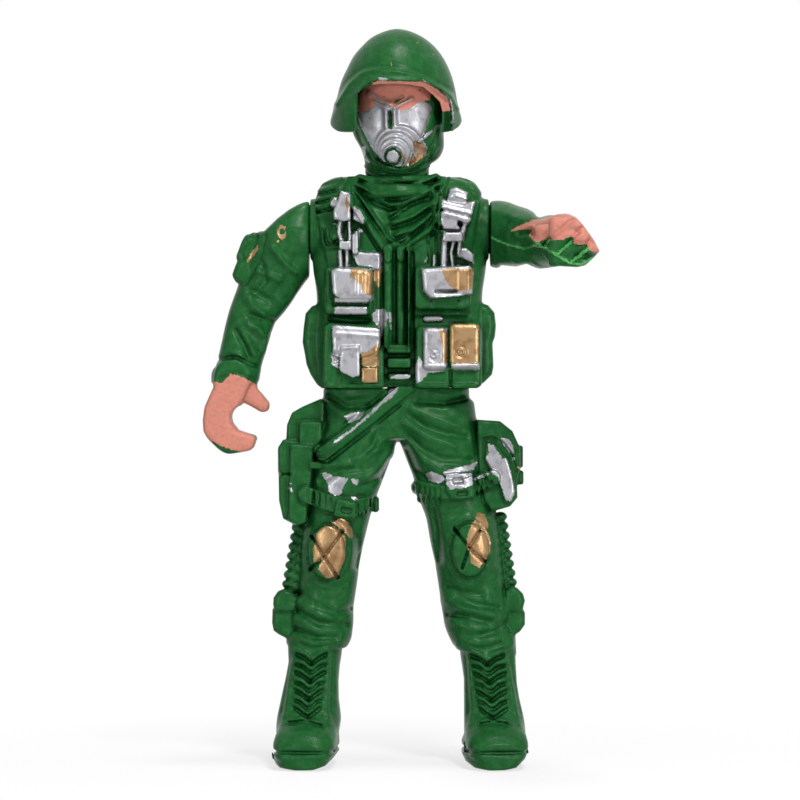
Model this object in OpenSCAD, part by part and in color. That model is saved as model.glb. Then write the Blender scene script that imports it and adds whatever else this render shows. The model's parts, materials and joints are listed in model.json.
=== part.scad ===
// Toy soldier figure with a turning head, arms and waist, in moulded plastic.
// It stands on its own soles. X runs to its left, Y to its back and Z up, with the origin on the
// floor below the middle of its outline. The right arm hangs and the left arm points forward.

/* [Lower body] */
// Height of the lower body, from the floor to its flat top
leg_h = 51.2; // [46:0.1:56]
// Width of the hips
hip_w = 20.2; // [18:0.1:23]
// Depth of the hips, front to back
hip_d = 11.6; // [10:0.1:13]
// Distance between the two thighs at their tops
thigh_spread = 10.4; // [9.8:0.1:11.5]
// Distance between the two ankles
ankle_spread = 24.2; // [22:0.1:27]
// Width of a thigh at its top
thigh_w = 11.4; // [10:0.1:12.5]
// Depth of a thigh at its top
thigh_d = 11.4; // [10:0.1:13]
// Height of a boot, from the floor to the hem of the trousers
boot_h = 18; // [15:0.1:20]
// Length of a boot's sole
sole_l = 15.5; // [13:0.1:17]
// Width of a boot's sole
sole_w = 8.8; // [7.5:0.1:9.5]
// Thickness of a boot's sole
sole_h = 3; // [2:0.1:4]
// Angle of each foot, turned outwards
toe_out = 7; // [0:1:12]

/* [Upper body] */
// Height of the upper body, from its hem to the seat of the neck
torso_h = 28; // [25:0.1:31]
// Width of the upper body across its flat sides
torso_w = 23.7; // [22:0.1:26]
// Depth of the chest without its pouches
torso_d = 12.4; // [11:0.1:14]
// Height of the shoulder axis above the hem
shoulder_h = 21.3; // [20:0.1:22.5]
// How far the pouches of the vest stand proud
pouch_d = 2.2; // [1:0.1:3]

/* [Head] */
// Height from the seat of the neck to the flat crown under the helmet
head_h = 16.6; // [15:0.1:18]
// Width of the hood
head_w = 12.2; // [11:0.1:13]
// Depth of the hood
head_d = 12.6; // [11:0.1:13.5]
// Width of the neck
neck_w = 8.4; // [7.5:0.1:9]
// Angle of the head, turned to its right
head_turn = 6; // [0:1:20]
// Radius of the breathing canister
canister_r = 2.8; // [2:0.1:3.2]
// Length of the breathing canister
canister_l = 3; // [2:0.1:4]

/* [Helmet] */
// Width of the helmet
helmet_w = 17; // [16.5:0.1:19]
// Length of the helmet, front to back
helmet_l = 20.4; // [19:0.1:22]
// Height of the helmet above its widest line
helmet_h = 11.7; // [11.5:0.1:13]
// Wall of the helmet
helmet_t = 0.9; // [0.6:0.1:1.2]
// Height of the front brim above the widest line
brim_rise = 5; // [4:0.1:6]
// Drop of the ear flaps below the widest line
flap_drop = 2.7; // [2:0.1:3.2]

/* [Arms] */
// Length of an arm from the shoulder axis to the end of the cuff
arm_l = 20.6; // [18:0.1:23]
// How far the cuff stands out from the arm's flat face
arm_w = 13.1; // [12:0.1:14.5]
// Depth of an arm at the shoulder
arm_d = 9.4; // [8.5:0.1:10.5]
// Radius of the hole that a hand grips with
grip_r = 1.6; // [1.2:0.05:1.8]
// Angle that the left arm is raised to, forward from hanging
left_raise = 84; // [60:1:100]
// Width of a hand along its grip
hand_w = 6.8; // [6:0.1:8]
// Thickness of the fingers round the grip
finger_t = 2.7; // [2.3:0.1:3]

/* [Pegs] */
// Radius of every peg's shaft
peg_r = 1.7; // [1.4:0.05:2]
// Radius of every peg's head, which the upper body traps
peg_head_r = 2.7; // [2.4:0.05:3]
// Thickness of every peg's head
peg_head_t = 1.4; // [1:0.1:1.8]
// Depth of every peg in the piece that it turns
peg_seat = 4.6; // [3.5:0.1:5]
// Wall of the upper body outside every peg's head
peg_wall = 1.8; // [1.4:0.1:2.4]

/* [Clearances] */
// Gap round a peg that turns
turn_gap = 0.06; // [0.03:0.01:0.1]
// Gap round a peg that is fixed
fixed_gap = 0.02; // [0.01:0.01:0.04]
// Gap between two pieces that turn on each other
joint_gap = 0.3; // [0.2:0.05:0.4]
// Gap between the two halves of the upper body
seam_gap = 0.04; // [0.02:0.01:0.1]

/* [Hidden] */
$fn = 40;
overrun = 0.5;
// Sides of a round piece, of a small one and of a strap
round_n = 32;
small_n = 10;
strap_n = 8;
// Steps round each corner of a soft-edged block
pad_steps = 2;

hem_z = leg_h + joint_gap;
shoulder_z = hem_z + shoulder_h;
neck_z = hem_z + torso_h;
neck_seat = 0.8;
neck_x = -0.35;

// Flat faces of the arms, and the round hub on each that nearly meets the upper body
hub_r = 3.25;
hub_h = 0.35;
arm_face = torso_w / 2 + hub_h + joint_gap / 3;

// The grip's middle beyond the cuff and out from the arm's flat face, and the palm's radius
grip_down = 4.9;
grip_out = 8.95;
palm_r = 3.3;

// The outline reaches from the left hand in front to the back of the helmet
front_reach = (arm_l + grip_down + palm_r * 0.95 + finger_t * 0.72) * sin(left_raise);
back_reach = helmet_l / 2;
centre_y = (front_reach - back_reach) / 2;

function signed_power(v, p) = sign(v) * pow(abs(v), p);
function unit(v) = v / norm(v);
function smooth_step(low, high, v) =
    let (t = max(0, min(1, (v - low) / (high - low)))) t * t * (3 - 2 * t);

// A level ring with half sizes a and b, squarer as e grows, that stays outside the plane x = wall
function ring(c, a, b, e, n, wall = undef) =
    [for (i = [0:n - 1])
        let (t = 360 * i / n,
             x = c.x + a * signed_power(cos(t), 2 / e),
             y = c.y + b * signed_power(sin(t), 2 / e))
        [wall == undef ? x : max(x, wall), y, c.z]];

// A ring across a path that runs along d, with half sizes a across and b along the normal up
function cross_ring(c, d, up, a, b, e, n) =
    let (u = unit(cross(up, d)), v = unit(cross(d, u)))
    [for (i = [0:n - 1])
        let (t = 360 * i / n)
        c + u * a * signed_power(cos(t), 2 / e) + v * b * signed_power(sin(t), 2 / e)];

// A level rectangle with round corners, drawn in by inset
function round_square(w, h, corner, inset, z, steps) =
    let (r = max(corner - inset, corner / 8))
    [for (q = [0:3], i = [0:steps])
        let (t = 90 * q + 90 * i / steps,
             sx = (q == 0 || q == 3) ? 1 : -1,
             sy = q < 2 ? 1 : -1)
        [sx * (w / 2 - inset - r) + r * cos(t), sy * (h / 2 - inset - r) + r * sin(t), z]];

function side_faces(m, n) =
    [for (j = [0:m - 2], i = [0:n - 1])
        let (k = (i + 1) % n)
        each [[j * n + i, (j + 1) * n + i, (j + 1) * n + k],
              [j * n + i, (j + 1) * n + k, j * n + k]]];

function end_faces(m, n) =
    concat([for (i = [1:n - 2]) [0, i, i + 1]],
           [for (i = [1:n - 2]) [(m - 1) * n, (m - 1) * n + i + 1, (m - 1) * n + i]]);

// A closed skin over a stack of rings, each drawn anticlockwise about the way they run
module loft(rings)
    polyhedron(points = [for (r = rings) each r],
               faces = concat(side_faces(len(rings), len(rings[0])),
                              end_faces(len(rings), len(rings[0]))));

// A soft-edged block that stands on the XY plane and rises to d
module pad(w, h, d, corner, edge) {
    c = min(corner, w * 0.4, h * 0.4);
    e = min(edge, c * 0.8, d / 2);
    loft([round_square(w, h, c, 0, 0, pad_steps),
          round_square(w, h, c, 0, d - e, pad_steps),
          round_square(w, h, c, e * 0.3, d - e * 0.3, pad_steps),
          round_square(w, h, c, e, d, pad_steps)]);
}

// A strap or cord through points, wide across and thick along up
module strap(points, up, wide, thick, n = strap_n, e = 3) {
    last = len(points) - 1;
    loft([for (i = [0:last])
        cross_ring(points[i], points[min(i + 1, last)] - points[max(i - 1, 0)], up,
                   wide / 2, thick / 2, e, n)]);
}

// The figure stands with the middle of its outline over the origin
module stand() translate([0, centre_y, 0]) children();

// Pegs

// A peg along +Z: its head lies under the wall it turns in, and its shaft reaches the seat
module peg(gap) {
    cylinder(r = peg_head_r, h = peg_head_t);
    cylinder(r = peg_r, h = peg_head_t + peg_wall + gap + peg_seat - overrun);
}

// The room that the upper body leaves round such a peg
module peg_room(gap) {
    translate([0, 0, -joint_gap])
        cylinder(r = peg_head_r + joint_gap, h = peg_head_t + 2 * joint_gap);
    cylinder(r = peg_r + turn_gap, h = peg_head_t + peg_wall + gap + overrun);
}

// The hole that a turned piece holds the shaft with, from its own face down to the seat
module peg_hole() translate([0, 0, -overrun]) cylinder(r = peg_r + fixed_gap, h = peg_seat + overrun);

neck_gap = joint_gap;
shoulder_gap = arm_face - torso_w / 2;
neck_floor = neck_z - neck_seat;

module at_neck() translate([neck_x, 0, neck_floor - peg_wall - peg_head_t]) children();
module at_waist() translate([0, 0, hem_z + peg_wall + peg_head_t]) mirror([0, 0, 1]) children();
module at_shoulder(side)
    translate([side * (torso_w / 2 - peg_wall - peg_head_t), 0, shoulder_z])
        rotate([0, side * 90, 0]) children();

module neck_peg() color("dimgray") stand() at_neck() peg(neck_gap);
module waist_peg() color("dimgray") stand() at_waist() peg(joint_gap);
module shoulder_peg_right() color("dimgray") stand() at_shoulder(-1) peg(shoulder_gap);
module shoulder_peg_left() color("dimgray") stand() at_shoulder(1) peg(shoulder_gap);

// Upper body

// Height, half width, and reach to the front and the back, at each level of the upper body
trunk_shares = [
    [0, 0.92, 0.88, 0.88], [0.035, 0.955, 0.94, 0.93], [0.2, 0.965, 0.98, 0.95],
    [0.35, 0.94, 0.98, 0.93], [0.46, 0.95, 0.97, 0.92], [0.55, 0.99, 1, 0.96],
    [0.615, 1, 1, 1], [0.75, 1, 0.96, 1.02], [0.875, 1, 0.86, 0.98], [0.915, 0.97, 0.8, 0.94],
    [0.955, 0.895, 0.74, 0.86], [0.985, 0.81, 0.68, 0.78], [1.003, 0.66, 0.62, 0.72],
    [1.015, 0.5, 0.56, 0.64]];
trunk_e = 3.4;
trunk_n = 22;

// One half of the upper body: side -1 is its front and side 1 its back
function trunk_ring(s, side) =
    [for (i = [0:trunk_n])
        let (t = (side < 0 ? 180 : 0) + 180 * i / trunk_n,
             reach = torso_d / 2 * (side < 0 ? s[2] : s[3]))
        [torso_w / 2 * s[1] * signed_power(cos(t), 2 / trunk_e),
         side * seam_gap / 2 + reach * signed_power(sin(t), 2 / trunk_e),
         hem_z + torso_h * s[0]]];

module trunk_half(side) loft([for (s = trunk_shares) trunk_ring(s, side)]);

module trunk_rooms() {
    at_neck() peg_room(neck_gap + neck_seat);
    at_waist() peg_room(joint_gap);
    at_shoulder(-1) peg_room(shoulder_gap);
    at_shoulder(1) peg_room(shoulder_gap);
    translate([neck_x, 0, neck_floor])
        cylinder(r = neck_w / 2 + 2 * joint_gap, h = torso_h);
}

// Something laid on the chest, at shares of the width and height from the middle of the hem
module on_chest(x, z, sink = 0)
    translate([torso_w * x, -torso_d / 2 + sink, hem_z + torso_h * z]) rotate([90, 0, 0]) children();
module on_back(x, z, sink = 0)
    translate([torso_w * x, torso_d / 2 - sink, hem_z + torso_h * z])
        rotate([90, 0, 180]) children();

edge_r = 0.5;
corner_r = 0.8;
sink_d = 1.6;

// Middle across and up, width, height and proud share of each pouch on the chest
pouch_shares = [
    [-0.288, 0.468, 0.265, 0.225, 0.8], [0.242, 0.482, 0.325, 0.19, 0.8],
    [-0.262, 0.155, 0.345, 0.325, 1], [0.277, 0.155, 0.37, 0.3, 1]];
// The flaps over them, in the same order of values
flap_shares = [
    [-0.285, 0.5, 0.25, 0.15, 1], [0.25, 0.512, 0.3, 0.13, 1],
    [-0.25, 0.195, 0.31, 0.215, 1.25], [0.183, 0.203, 0.15, 0.2, 1.25],
    [0.34, 0.207, 0.185, 0.205, 1.25]];
// Shoulder hardware: clips, buckles and blocks on the two straps
clip_shares = [
    [-0.38, 0.92, 0.1, 0.05, 0], [-0.385, 0.85, 0.1, 0.05, 0.1], [-0.3, 0.88, 0.11, 0.14, 0.25],
    [-0.33, 0.76, 0.1, 0.07, 0.3], [0.33, 0.945, 0.13, 0.05, 0.1], [0.33, 0.875, 0.19, 0.08, 0.3],
    [0.31, 0.8, 0.11, 0.045, 0.35], [0.3, 0.745, 0.12, 0.045, 0.35], [0.34, 0.66, 0.1, 0.06, 0.3]];
// Side pouches, at the middle of each side
side_pouch_h = 10;
side_pouch_d = 8;
side_pouch_t = 1.2;
// Height of the middle of a side pouch above the hem, as a share of its own height
side_pouch_share = 0.63;

module chest_pads(shares, sink)
    for (s = shares)
        on_chest(s[0], s[1], sink)
            pad(torso_w * s[2], torso_h * s[3], sink + pouch_d * s[4], corner_r, edge_r);
module back_pads(shares, sink)
    for (s = shares)
        on_back(s[0], s[1], sink)
            pad(torso_w * s[2], torso_h * s[3], sink + pouch_d * s[4], corner_r, edge_r);

strap_w = 2.6;
strap_t = 1.1;
// Points of a shoulder strap from the shoulder down to the pouch: across, forward and up
shoulder_strap_shares = [[0.33, 0.3, 1], [0.34, 0.72, 0.965], [0.335, 0.9, 0.87],
                         [0.32, 0.99, 0.75], [0.3, 1.02, 0.6]];
// The edge of the vest's neck: across, forward and up
neckline_shares = [[0.19, 0.62, 1.01], [0.15, 0.86, 0.88], [0.08, 0.98, 0.78], [0.03, 1, 0.7]];
// The four ribs of the front closure, across
rib_shares = [-0.068, -0.022, 0.022, 0.068];
rib_w = 0.55;
rib_top_share = 0.69;
rib_bottom_share = 0.19;
// Middle, width, height and proud share of the buckle below the ribs
buckle_shares = [[0, 0.135, 0.125, 0.071, 0.33]];

// The pack on the back with its flap, the yoke between the straps, and the packs beside it
pack_shares = [
    [0, 0.3, 0.54, 0.357, 0.5], [0, 0.386, 0.557, 0.207, 0.66], [0, 0.75, 0.46, 0.08, 0.2],
    [-0.392, 0.246, 0.16, 0.307, 0.05], [0.392, 0.246, 0.16, 0.307, 0.05],
    [-0.392, 0.325, 0.17, 0.136, 0.2], [0.392, 0.325, 0.17, 0.136, 0.2]];
// Points of a strap on the back, from the shoulder down to the pack: across, back and up
back_strap_shares = [[0.3, 0.4, 0.995], [0.295, 0.76, 0.975], [0.28, 0.97, 0.9],
                     [0.265, 1.03, 0.76], [0.255, 0.99, 0.58], [0.25, 0.94, 0.42]];
back_strap_w = 3.6;

function chest_point(s, side) =
    [side * torso_w * s[0], -torso_d / 2 * s[1], hem_z + torso_h * s[2]];
function back_point(s, side) =
    [side * torso_w * s[0], torso_d / 2 * s[1], hem_z + torso_h * s[2]];

module torso_front() color("forestgreen") stand() difference() {
    union() {
        trunk_half(-1);
        chest_pads(pouch_shares, sink_d);
        chest_pads(flap_shares, sink_d * 0.8);
        chest_pads(clip_shares, sink_d * 1.3);
        for (side = [-1, 1]) {
            strap([for (s = shoulder_strap_shares) chest_point(s, side)], [0, -1, 0.3],
                  strap_w, strap_t);
            strap([for (s = neckline_shares) chest_point(s, side)], [0, -1, 0.2],
                  strap_w / 3, strap_t);
        }
        for (x = rib_shares)
            on_chest(x, (rib_top_share + rib_bottom_share) / 2, sink_d)
                pad(rib_w, torso_h * (rib_top_share - rib_bottom_share), sink_d + rib_w / 2,
                    rib_w / 3, rib_w / 3);
        chest_pads(buckle_shares, sink_d);
    }
    trunk_rooms();
}

module torso_back() color("forestgreen") stand() difference() {
    union() {
        trunk_half(1);
        for (side = [-1, 1])
            translate([side * (torso_w / 2 - side_pouch_t), seam_gap / 2 + side_pouch_d / 4,
                       hem_z + side_pouch_h * side_pouch_share])
                rotate([90, 0, side * 90])
                    pad(side_pouch_d / 2, side_pouch_h, 2 * side_pouch_t, 2 * corner_r, 2 * edge_r);
        back_pads(pack_shares, sink_d);
        for (side = [-1, 1])
            strap([for (s = back_strap_shares) back_point(s, side)], [0, 1, 0.3],
                  back_strap_w, strap_t);
    }
    trunk_rooms();
}

// Helmet

// Height of the helmet's widest line above the seat of the neck
helmet_seat = 8.7;
helmet_z = neck_z + helmet_seat;
rim_n = 40;
dome_rings = 8;
// The brim turns down into the ear flaps between these angles from the front
brim_angle = 38;
flap_angle = 68;
// The rim drops again behind the ears, from a share of its whole drop
ear_angle = 85;
nape_angle = 140;
ear_share = 0.35;
post_r = 1.4;
pole_share = 0.06;

function rim_z(t) =
    brim_rise - (brim_rise + flap_drop * ear_share) * smooth_step(brim_angle, flap_angle, t)
    - flap_drop * (1 - ear_share) * smooth_step(ear_angle, nape_angle, t);

// A point of the helmet at angle t round from the front, share s down from its top
function dome_point(t, s, wall) =
    let (a = helmet_w / 2 - wall, b = helmet_l / 2 - wall, h = helmet_h - wall,
         z = rim_z(t > 180 ? 360 - t : t),
         polar = s * acos(max(-1, min(1, z / helmet_h))),
         flare = helmet_t / 2 * pow(s, 10))
    [(a * sin(polar) + flare) * sin(t), -(b * sin(polar) + flare) * cos(t), h * cos(polar)];

function dome_ring(s, wall) = [for (i = [0:rim_n - 1]) dome_point(360 * i / rim_n, s, wall)];

module turned_head() translate([neck_x, 0, 0]) rotate([0, 0, -head_turn]) children();

module helmet() color("darkgreen") stand() turned_head() {
    translate([0, 0, helmet_z])
        loft(concat(
            [for (i = [0:dome_rings]) dome_ring(pole_share + (1 - pole_share) * i / dome_rings,
                                                helmet_t)],
            [for (i = [0:dome_rings]) dome_ring(1 - (1 - pole_share) * i / dome_rings, 0)]));
    translate([0, 0, crown_z - post_l])
        cylinder(r = post_r, h = post_l + overrun);
    translate([0, 0, crown_z])
        cylinder(r = 2 * post_r, h = helmet_z + helmet_h - 1.5 * helmet_t - crown_z);
}

// Head

crown_z = neck_z + head_h;
post_l = 2;
neck_h = 3;
// Height and half width at each fold of the neck
neck_shares = [[0, 0.95], [0.2, 1], [0.4, 0.92], [0.65, 1], [0.85, 0.96]];
// Height above the seat, half width, reach to the front and to the back, at each level of the head
head_shares = [
    [0.16, 0.78, 0.84, 0.73], [0.22, 0.88, 0.93, 0.8],
    [0.36, 0.96, 0.95, 0.9], [0.5, 1, 0.95, 1], [0.65, 0.99, 0.94, 1.02],
    [0.78, 0.92, 0.88, 0.98], [0.88, 0.78, 0.72, 0.86], [0.96, 0.55, 0.5, 0.6], [1, 0.4, 0.36, 0.42]];
face_e = 2.4;
// The hood sits a little to the left of the neck's axis
hood_shift = 0.3;
// The facepiece of the respirator: height, half width and reach, as shares of the head's
mask_shares = [[0.18, 0.3, 0.98], [0.26, 0.5, 1.1], [0.38, 0.62, 1.14], [0.5, 0.72, 1.1],
               [0.62, 0.8, 1.02], [0.68, 0.8, 0.94]];
// The canister points forward and down from here
canister_tilt = 20;
canister_rise = 4.2;
canister_z = neck_z + canister_rise;
knob_r = 0.95;
// Radius and height of each step of the canister, as shares
canister_shares = [[0, 0], [1, 0], [1, 0.34], [0.8, 0.42], [0.8, 0.62], [0.6, 0.7], [0.6, 1],
                   [0.42, 1], [0.42, 0.86], [0.3, 0.86], [0.3, 1.1], [0, 1.18]];

module head() color("seagreen") stand() turned_head() difference() {
    union() {
        loft(concat(
            [for (s = neck_shares)
                ring([0, 0, neck_floor + joint_gap + neck_h * s[0]], neck_w / 2 * s[1],
                     neck_w / 2 * s[1], 2, round_n)],
            [for (s = head_shares)
                [for (i = [0:round_n - 1])
                    let (t = 360 * i / round_n,
                         reach = head_d / 2 * (sin(t) < 0 ? s[2] : s[3]))
                    [hood_shift + head_w / 2 * s[1] * signed_power(cos(t), 2 / face_e),
                     reach * signed_power(sin(t), 2 / face_e), neck_z + head_h * s[0]]]]));
        loft([for (s = mask_shares)
            ring([0, 0, neck_z + head_h * s[0]], head_w / 2 * s[1], head_d / 2 * s[2], 2, round_n / 2)]);
        translate([0, -head_d / 2, canister_z]) rotate([90 + canister_tilt, 0, 0])
            rotate_extrude()
                polygon([for (s = canister_shares) [canister_r * s[0], canister_l * s[1]]]);
    }
    translate([0, 0, neck_floor + joint_gap]) peg_hole();
    translate([0, 0, crown_z - post_l - overrun])
        cylinder(r = post_r + fixed_gap, h = post_l + 2 * overrun);
}

// Arms

// Along the arm, inner and outer edge of the sleeve, its depth and how far back its middle lies
sleeve_shares = [
    [-0.19, -0.02, 0.09, 0.35, 0.07], [-0.17, -0.05, 0.17, 0.56, 0.07],
    [-0.117, -0.09, 0.3, 0.77, 0.07], [-0.066, -0.12, 0.395, 0.89, 0.07],
    [0.04, -0.16, 0.555, 1, 0.07], [0.146, -0.15, 0.65, 0.96, 0.075],
    [0.204, -0.13, 0.69, 0.9, 0.075], [0.25, -0.08, 0.715, 0.87, 0.08],
    [0.3, -0.01, 0.735, 0.84, 0.09], [0.35, 0.08, 0.757, 0.82, 0.1],
    [0.46, 0.15, 0.795, 0.79, 0.11], [0.53, 0.28, 0.83, 0.78, 0.105],
    [0.6, 0.35, 0.86, 0.76, 0.09], [0.7, 0.4, 0.885, 0.74, 0.07],
    [0.8, 0.44, 0.925, 0.71, 0.045], [0.88, 0.48, 0.945, 0.69, 0.03],
    [0.92, 0.5, 0.95, 0.66, 0.02], [0.925, 0.48, 1, 0.74, 0.02], [1, 0.5, 1, 0.72, 0.01],
    [1.01, 0.52, 0.97, 0.64, 0.01]];
sleeve_e = 2.4;
sleeve_n = 24;
// Middle line of the hand round its grip: out and down as shares of the palm's radius, then
// thickness as a share of the fingers' and width as a share of the hand's
palm_shares = [[0.3, -1.75, 1.7, 0.78], [0.4, -1.35, 1.95, 0.86], [0.76, -0.8, 1.9, 0.95],
               [1, 0.02, 1.66, 1], [0.8, 0.68, 1.55, 1], [0.24, 0.95, 1.45, 0.97],
               [-0.3, 0.86, 1.2, 0.92], [-0.46, 0.8, 0.75, 0.76]];
palm_e = 3;
// The same for the thumb
thumb_shares = [[0.2, -1.5, 0.9], [-0.33, -1.12, 0.9], [-0.72, -0.79, 0.8], [-0.95, -0.54, 0.55]];
thumb_w = 2.6;
grip_z = -(arm_l + grip_down);
upper_pouch_h = 7.6;
upper_pouch_w = 5.2;
upper_pouch_back = 0.8;
upper_pouch_d = 2.8;
upper_pouch_down = 4.2;
upper_pouch_out = 6.6;
upper_pouch_lean = 25;

// An arm that hangs from the origin, with its flat face on the plane x = 0
module arm() difference() {
    union() {
        loft([for (i = [len(sleeve_shares) - 1:-1:0])
            let (s = sleeve_shares[i])
            ring([arm_w * (s[1] + s[2]) / 2, arm_d * s[4], -arm_l * s[0]],
                 arm_w * (s[2] - s[1]) / 2, arm_d / 2 * s[3], sleeve_e, sleeve_n, 0)]);
        translate([-hub_h, 0, 0]) rotate([0, 90, 0]) cylinder(r = hub_r, h = hub_h + overrun);
        translate([upper_pouch_out, upper_pouch_back, -upper_pouch_down])
            rotate([90, upper_pouch_lean, 90])
                pad(upper_pouch_w, upper_pouch_h, upper_pouch_d, corner_r, edge_r);
        translate([grip_out, 0, grip_z]) {
            loft([for (i = [0:len(palm_shares) - 1])
                let (s = palm_shares[i],
                     before = palm_shares[max(i - 1, 0)],
                     after = palm_shares[min(i + 1, len(palm_shares) - 1)])
                cross_ring([palm_r * s[0], 0, -palm_r * s[1]],
                           [after[0] - before[0], 0, before[1] - after[1]], [0, 1, 0],
                           finger_t / 2 * s[2], hand_w / 2 * s[3], palm_e, round_n / 2)]);
            loft([for (i = [0:len(thumb_shares) - 1])
                let (s = thumb_shares[i],
                     before = thumb_shares[max(i - 1, 0)],
                     after = thumb_shares[min(i + 1, len(thumb_shares) - 1)])
                cross_ring([palm_r * s[0], -thumb_w / 4, -palm_r * s[1]],
                           [after[0] - before[0], 0, before[1] - after[1]], [0, 1, 0],
                           thumb_w / 2 * s[2], thumb_w / 2 * s[2], 2.4, small_n)]);
        }
    }
    rotate([0, 90, 0]) translate([0, 0, -hub_h]) peg_hole();
    translate([grip_out, 0, grip_z]) rotate([90, 0, 0]) {
        cylinder(r = grip_r, h = hand_w + 2 * overrun, center = true);
        translate([-2 * grip_r, 0, 0])
            cube([4 * grip_r, 1.6 * grip_r, hand_w + 2 * overrun], center = true);
    }
}

module arm_right() color("forestgreen") stand()
    translate([-arm_face, 0, shoulder_z]) mirror([1, 0, 0]) arm();
module arm_left() color("forestgreen") stand()
    translate([arm_face, 0, shoulder_z]) rotate([-left_raise, 0, 0]) arm();

// Lower body

// Height above the boot's hem, outward, width and depth of each trouser leg, hem to top
right_trouser_shares = [
    [-0.042, 0.827, 0.614, 0.7], [-0.018, 0.827, 0.72, 0.807], [0.042, 0.812, 0.746, 0.842],
    [0.108, 0.754, 0.728, 0.825], [0.175, 0.681, 0.702, 0.825], [0.274, 0.616, 0.702, 0.842],
    [0.37, 0.558, 0.737, 0.877], [0.47, 0.493, 0.798, 0.912], [0.569, 0.391, 0.868, 0.947],
    [0.636, 0.319, 0.93, 0.982], [0.699, 0.247, 0.965, 1], [0.765, 0.16, 1, 1],
    [0.843, 0.03, 0.947, 1], [0.949, -0.043, 0.912, 0.982]];
left_trouser_shares = [
    [-0.036, 0.841, 0.596, 0.7], [-0.012, 0.841, 0.7, 0.79], [0.018, 0.812, 0.807, 0.842],
    [0.078, 0.783, 0.833, 0.842], [0.175, 0.689, 0.798, 0.825], [0.274, 0.624, 0.807, 0.842],
    [0.37, 0.551, 0.842, 0.877], [0.47, 0.478, 0.851, 0.912], [0.569, 0.304, 0.868, 0.947],
    [0.636, 0.239, 0.868, 0.982], [0.699, 0.16, 0.921, 1], [0.765, 0.079, 0.974, 1],
    [0.843, 0, 0.947, 1], [0.949, -0.043, 0.912, 0.982]];
trouser_n = 24;
trouser_e = 2.3;
// Height, half width and depth of the hips
hip_shares = [[-0.13, 0.3, 0.5], [-0.11, 0.78, 0.8], [-0.06, 1, 0.98], [0, 1, 1]];
// Height, width, depth, forward shift and lean outwards of the boot's shaft
shaft_shares = [[0.1, 1, 1, 0.1, 0.05], [0.28, 1, 0.98, 0.06, 0.05], [0.45, 0.97, 0.86, 0, 0.03],
                [0.7, 0.93, 0.82, 0, -0.02], [0.95, 0.99, 0.88, 0, -0.07],
                [1.08, 0.95, 0.84, 0, -0.08]];
shaft_w = 7.6;
shaft_d = 8.6;
// The foot from heel to toe: along, width and height
foot_shares = [[-0.46, 0.5, 0.4], [-0.4, 0.78, 0.8], [-0.1, 0.86, 1.1], [0.15, 0.94, 0.95],
               [0.35, 0.98, 0.8], [0.46, 0.86, 0.6], [0.52, 0.6, 0.3]];
foot_h = 4.6;
foot_shift = 2.2;

function leg_x(s) = thigh_spread / 2 + (ankle_spread - thigh_spread) / 2 * s;

module leg(side, shares) {
    trouser_h = leg_h - boot_h;
    loft([for (s = shares)
        ring([side * leg_x(s[1]), 0, boot_h + trouser_h * s[0]], thigh_w / 2 * s[2],
             thigh_d / 2 * s[3], trouser_e, trouser_n)]);
    translate([side * ankle_spread / 2, 0, 0]) rotate([0, 0, side * toe_out]) boot(side);
}

lace_rows = 6;
lace_r = 0.32;
lace_pitch = 1.35;
lace_bottom = 7.2;

module boot(side) {
    loft([for (s = shaft_shares)
        ring([side * shaft_w * s[4], -shaft_d * s[3], boot_h * s[0]], shaft_w / 2 * s[1],
             shaft_d / 2 * s[2], 2.3, trouser_n)]);
    // The foot, with its long way along Y, flat below
    loft([for (s = foot_shares)
        [for (k = [0:sole_n - 1])
            let (t = 180 * k / (sole_n - 1))
            [sole_w / 2 * s[1] * signed_power(cos(t), 0.8), -foot_shift - sole_l * s[0],
             sole_h - overrun + foot_h * s[2] * signed_power(sin(t), 0.8)]]]);
    sole(sole_h);
    for (i = [0:lace_rows - 1], side = [-1, 1])
        translate([0, -shaft_d / 2 * 0.86, lace_bottom + lace_pitch * i])
            rotate([0, side * 62, 0])
                cylinder(r = lace_r, h = shaft_w / 3.2);
}
sole_n = 14;
// The outline of a sole: how round its ends are, how narrow its heel is, and its lower edge
sole_side_power = 0.62;
sole_end_power = 0.8;
heel_share = 0.84;
sole_edge = 1;

module sole(h) loft([for (k = [[0, sole_edge], [sole_edge, 0], [h, 0]])
    [for (i = [0:trouser_n - 1])
        let (t = 360 * i / trouser_n,
             half = sole_w / 2 * (1 - (1 - heel_share) * max(0, sin(t))) - k[1])
        [half * signed_power(cos(t), sole_side_power),
         -foot_shift + (sole_l / 2 - k[1]) * signed_power(sin(t), sole_end_power), k[0]]]]);

// Blocks on the outside of the legs: middle height, height, depth and outer face, then the corner
// of each, as shares of the lower body's height, of the thigh's depth and of the hips' half width
right_block_shares = [[0.742, 0.215, 0.66, 1.58, 1], [0.885, 0.12, 0.56, 1.5, 2],
                      [0.77, 0.12, 0.5, 1.64, 0.6], [0.4, 0.125, 0.52, 1.66, 1.4]];
left_block_shares = [[0.797, 0.235, 0.62, 1.58, 2], [0.78, 0.15, 0.34, 1.65, 1],
                     [0.4, 0.125, 0.5, 1.66, 1.4]];
block_d = 6;
knee_w = 6.8;
knee_h = 9;
knee_d = 1.6;
knee_z = 29.2;
// The strap round each thigh: where it lies on the leg, how it slopes, and its width
band_share = 0.6;
band_slope = 0.2;
band_h = 1.9;
band_t = 0.5;
buckle_w = 3.2;
// The rope of beads down the outside of each leg: its lower end as a share of the trousers' height,
// and how far its beads stand out from the trousers below and above
rope_share = 0.17;
rope_r = 0.95;
rope_w = 1.25;
rope_beads = 7;
rope_pitch = 1.25;
rope_notch = 0.4;
right_rope_out = [1.85, 0.95];
left_rope_out = [1.15, 0.9];
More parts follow.
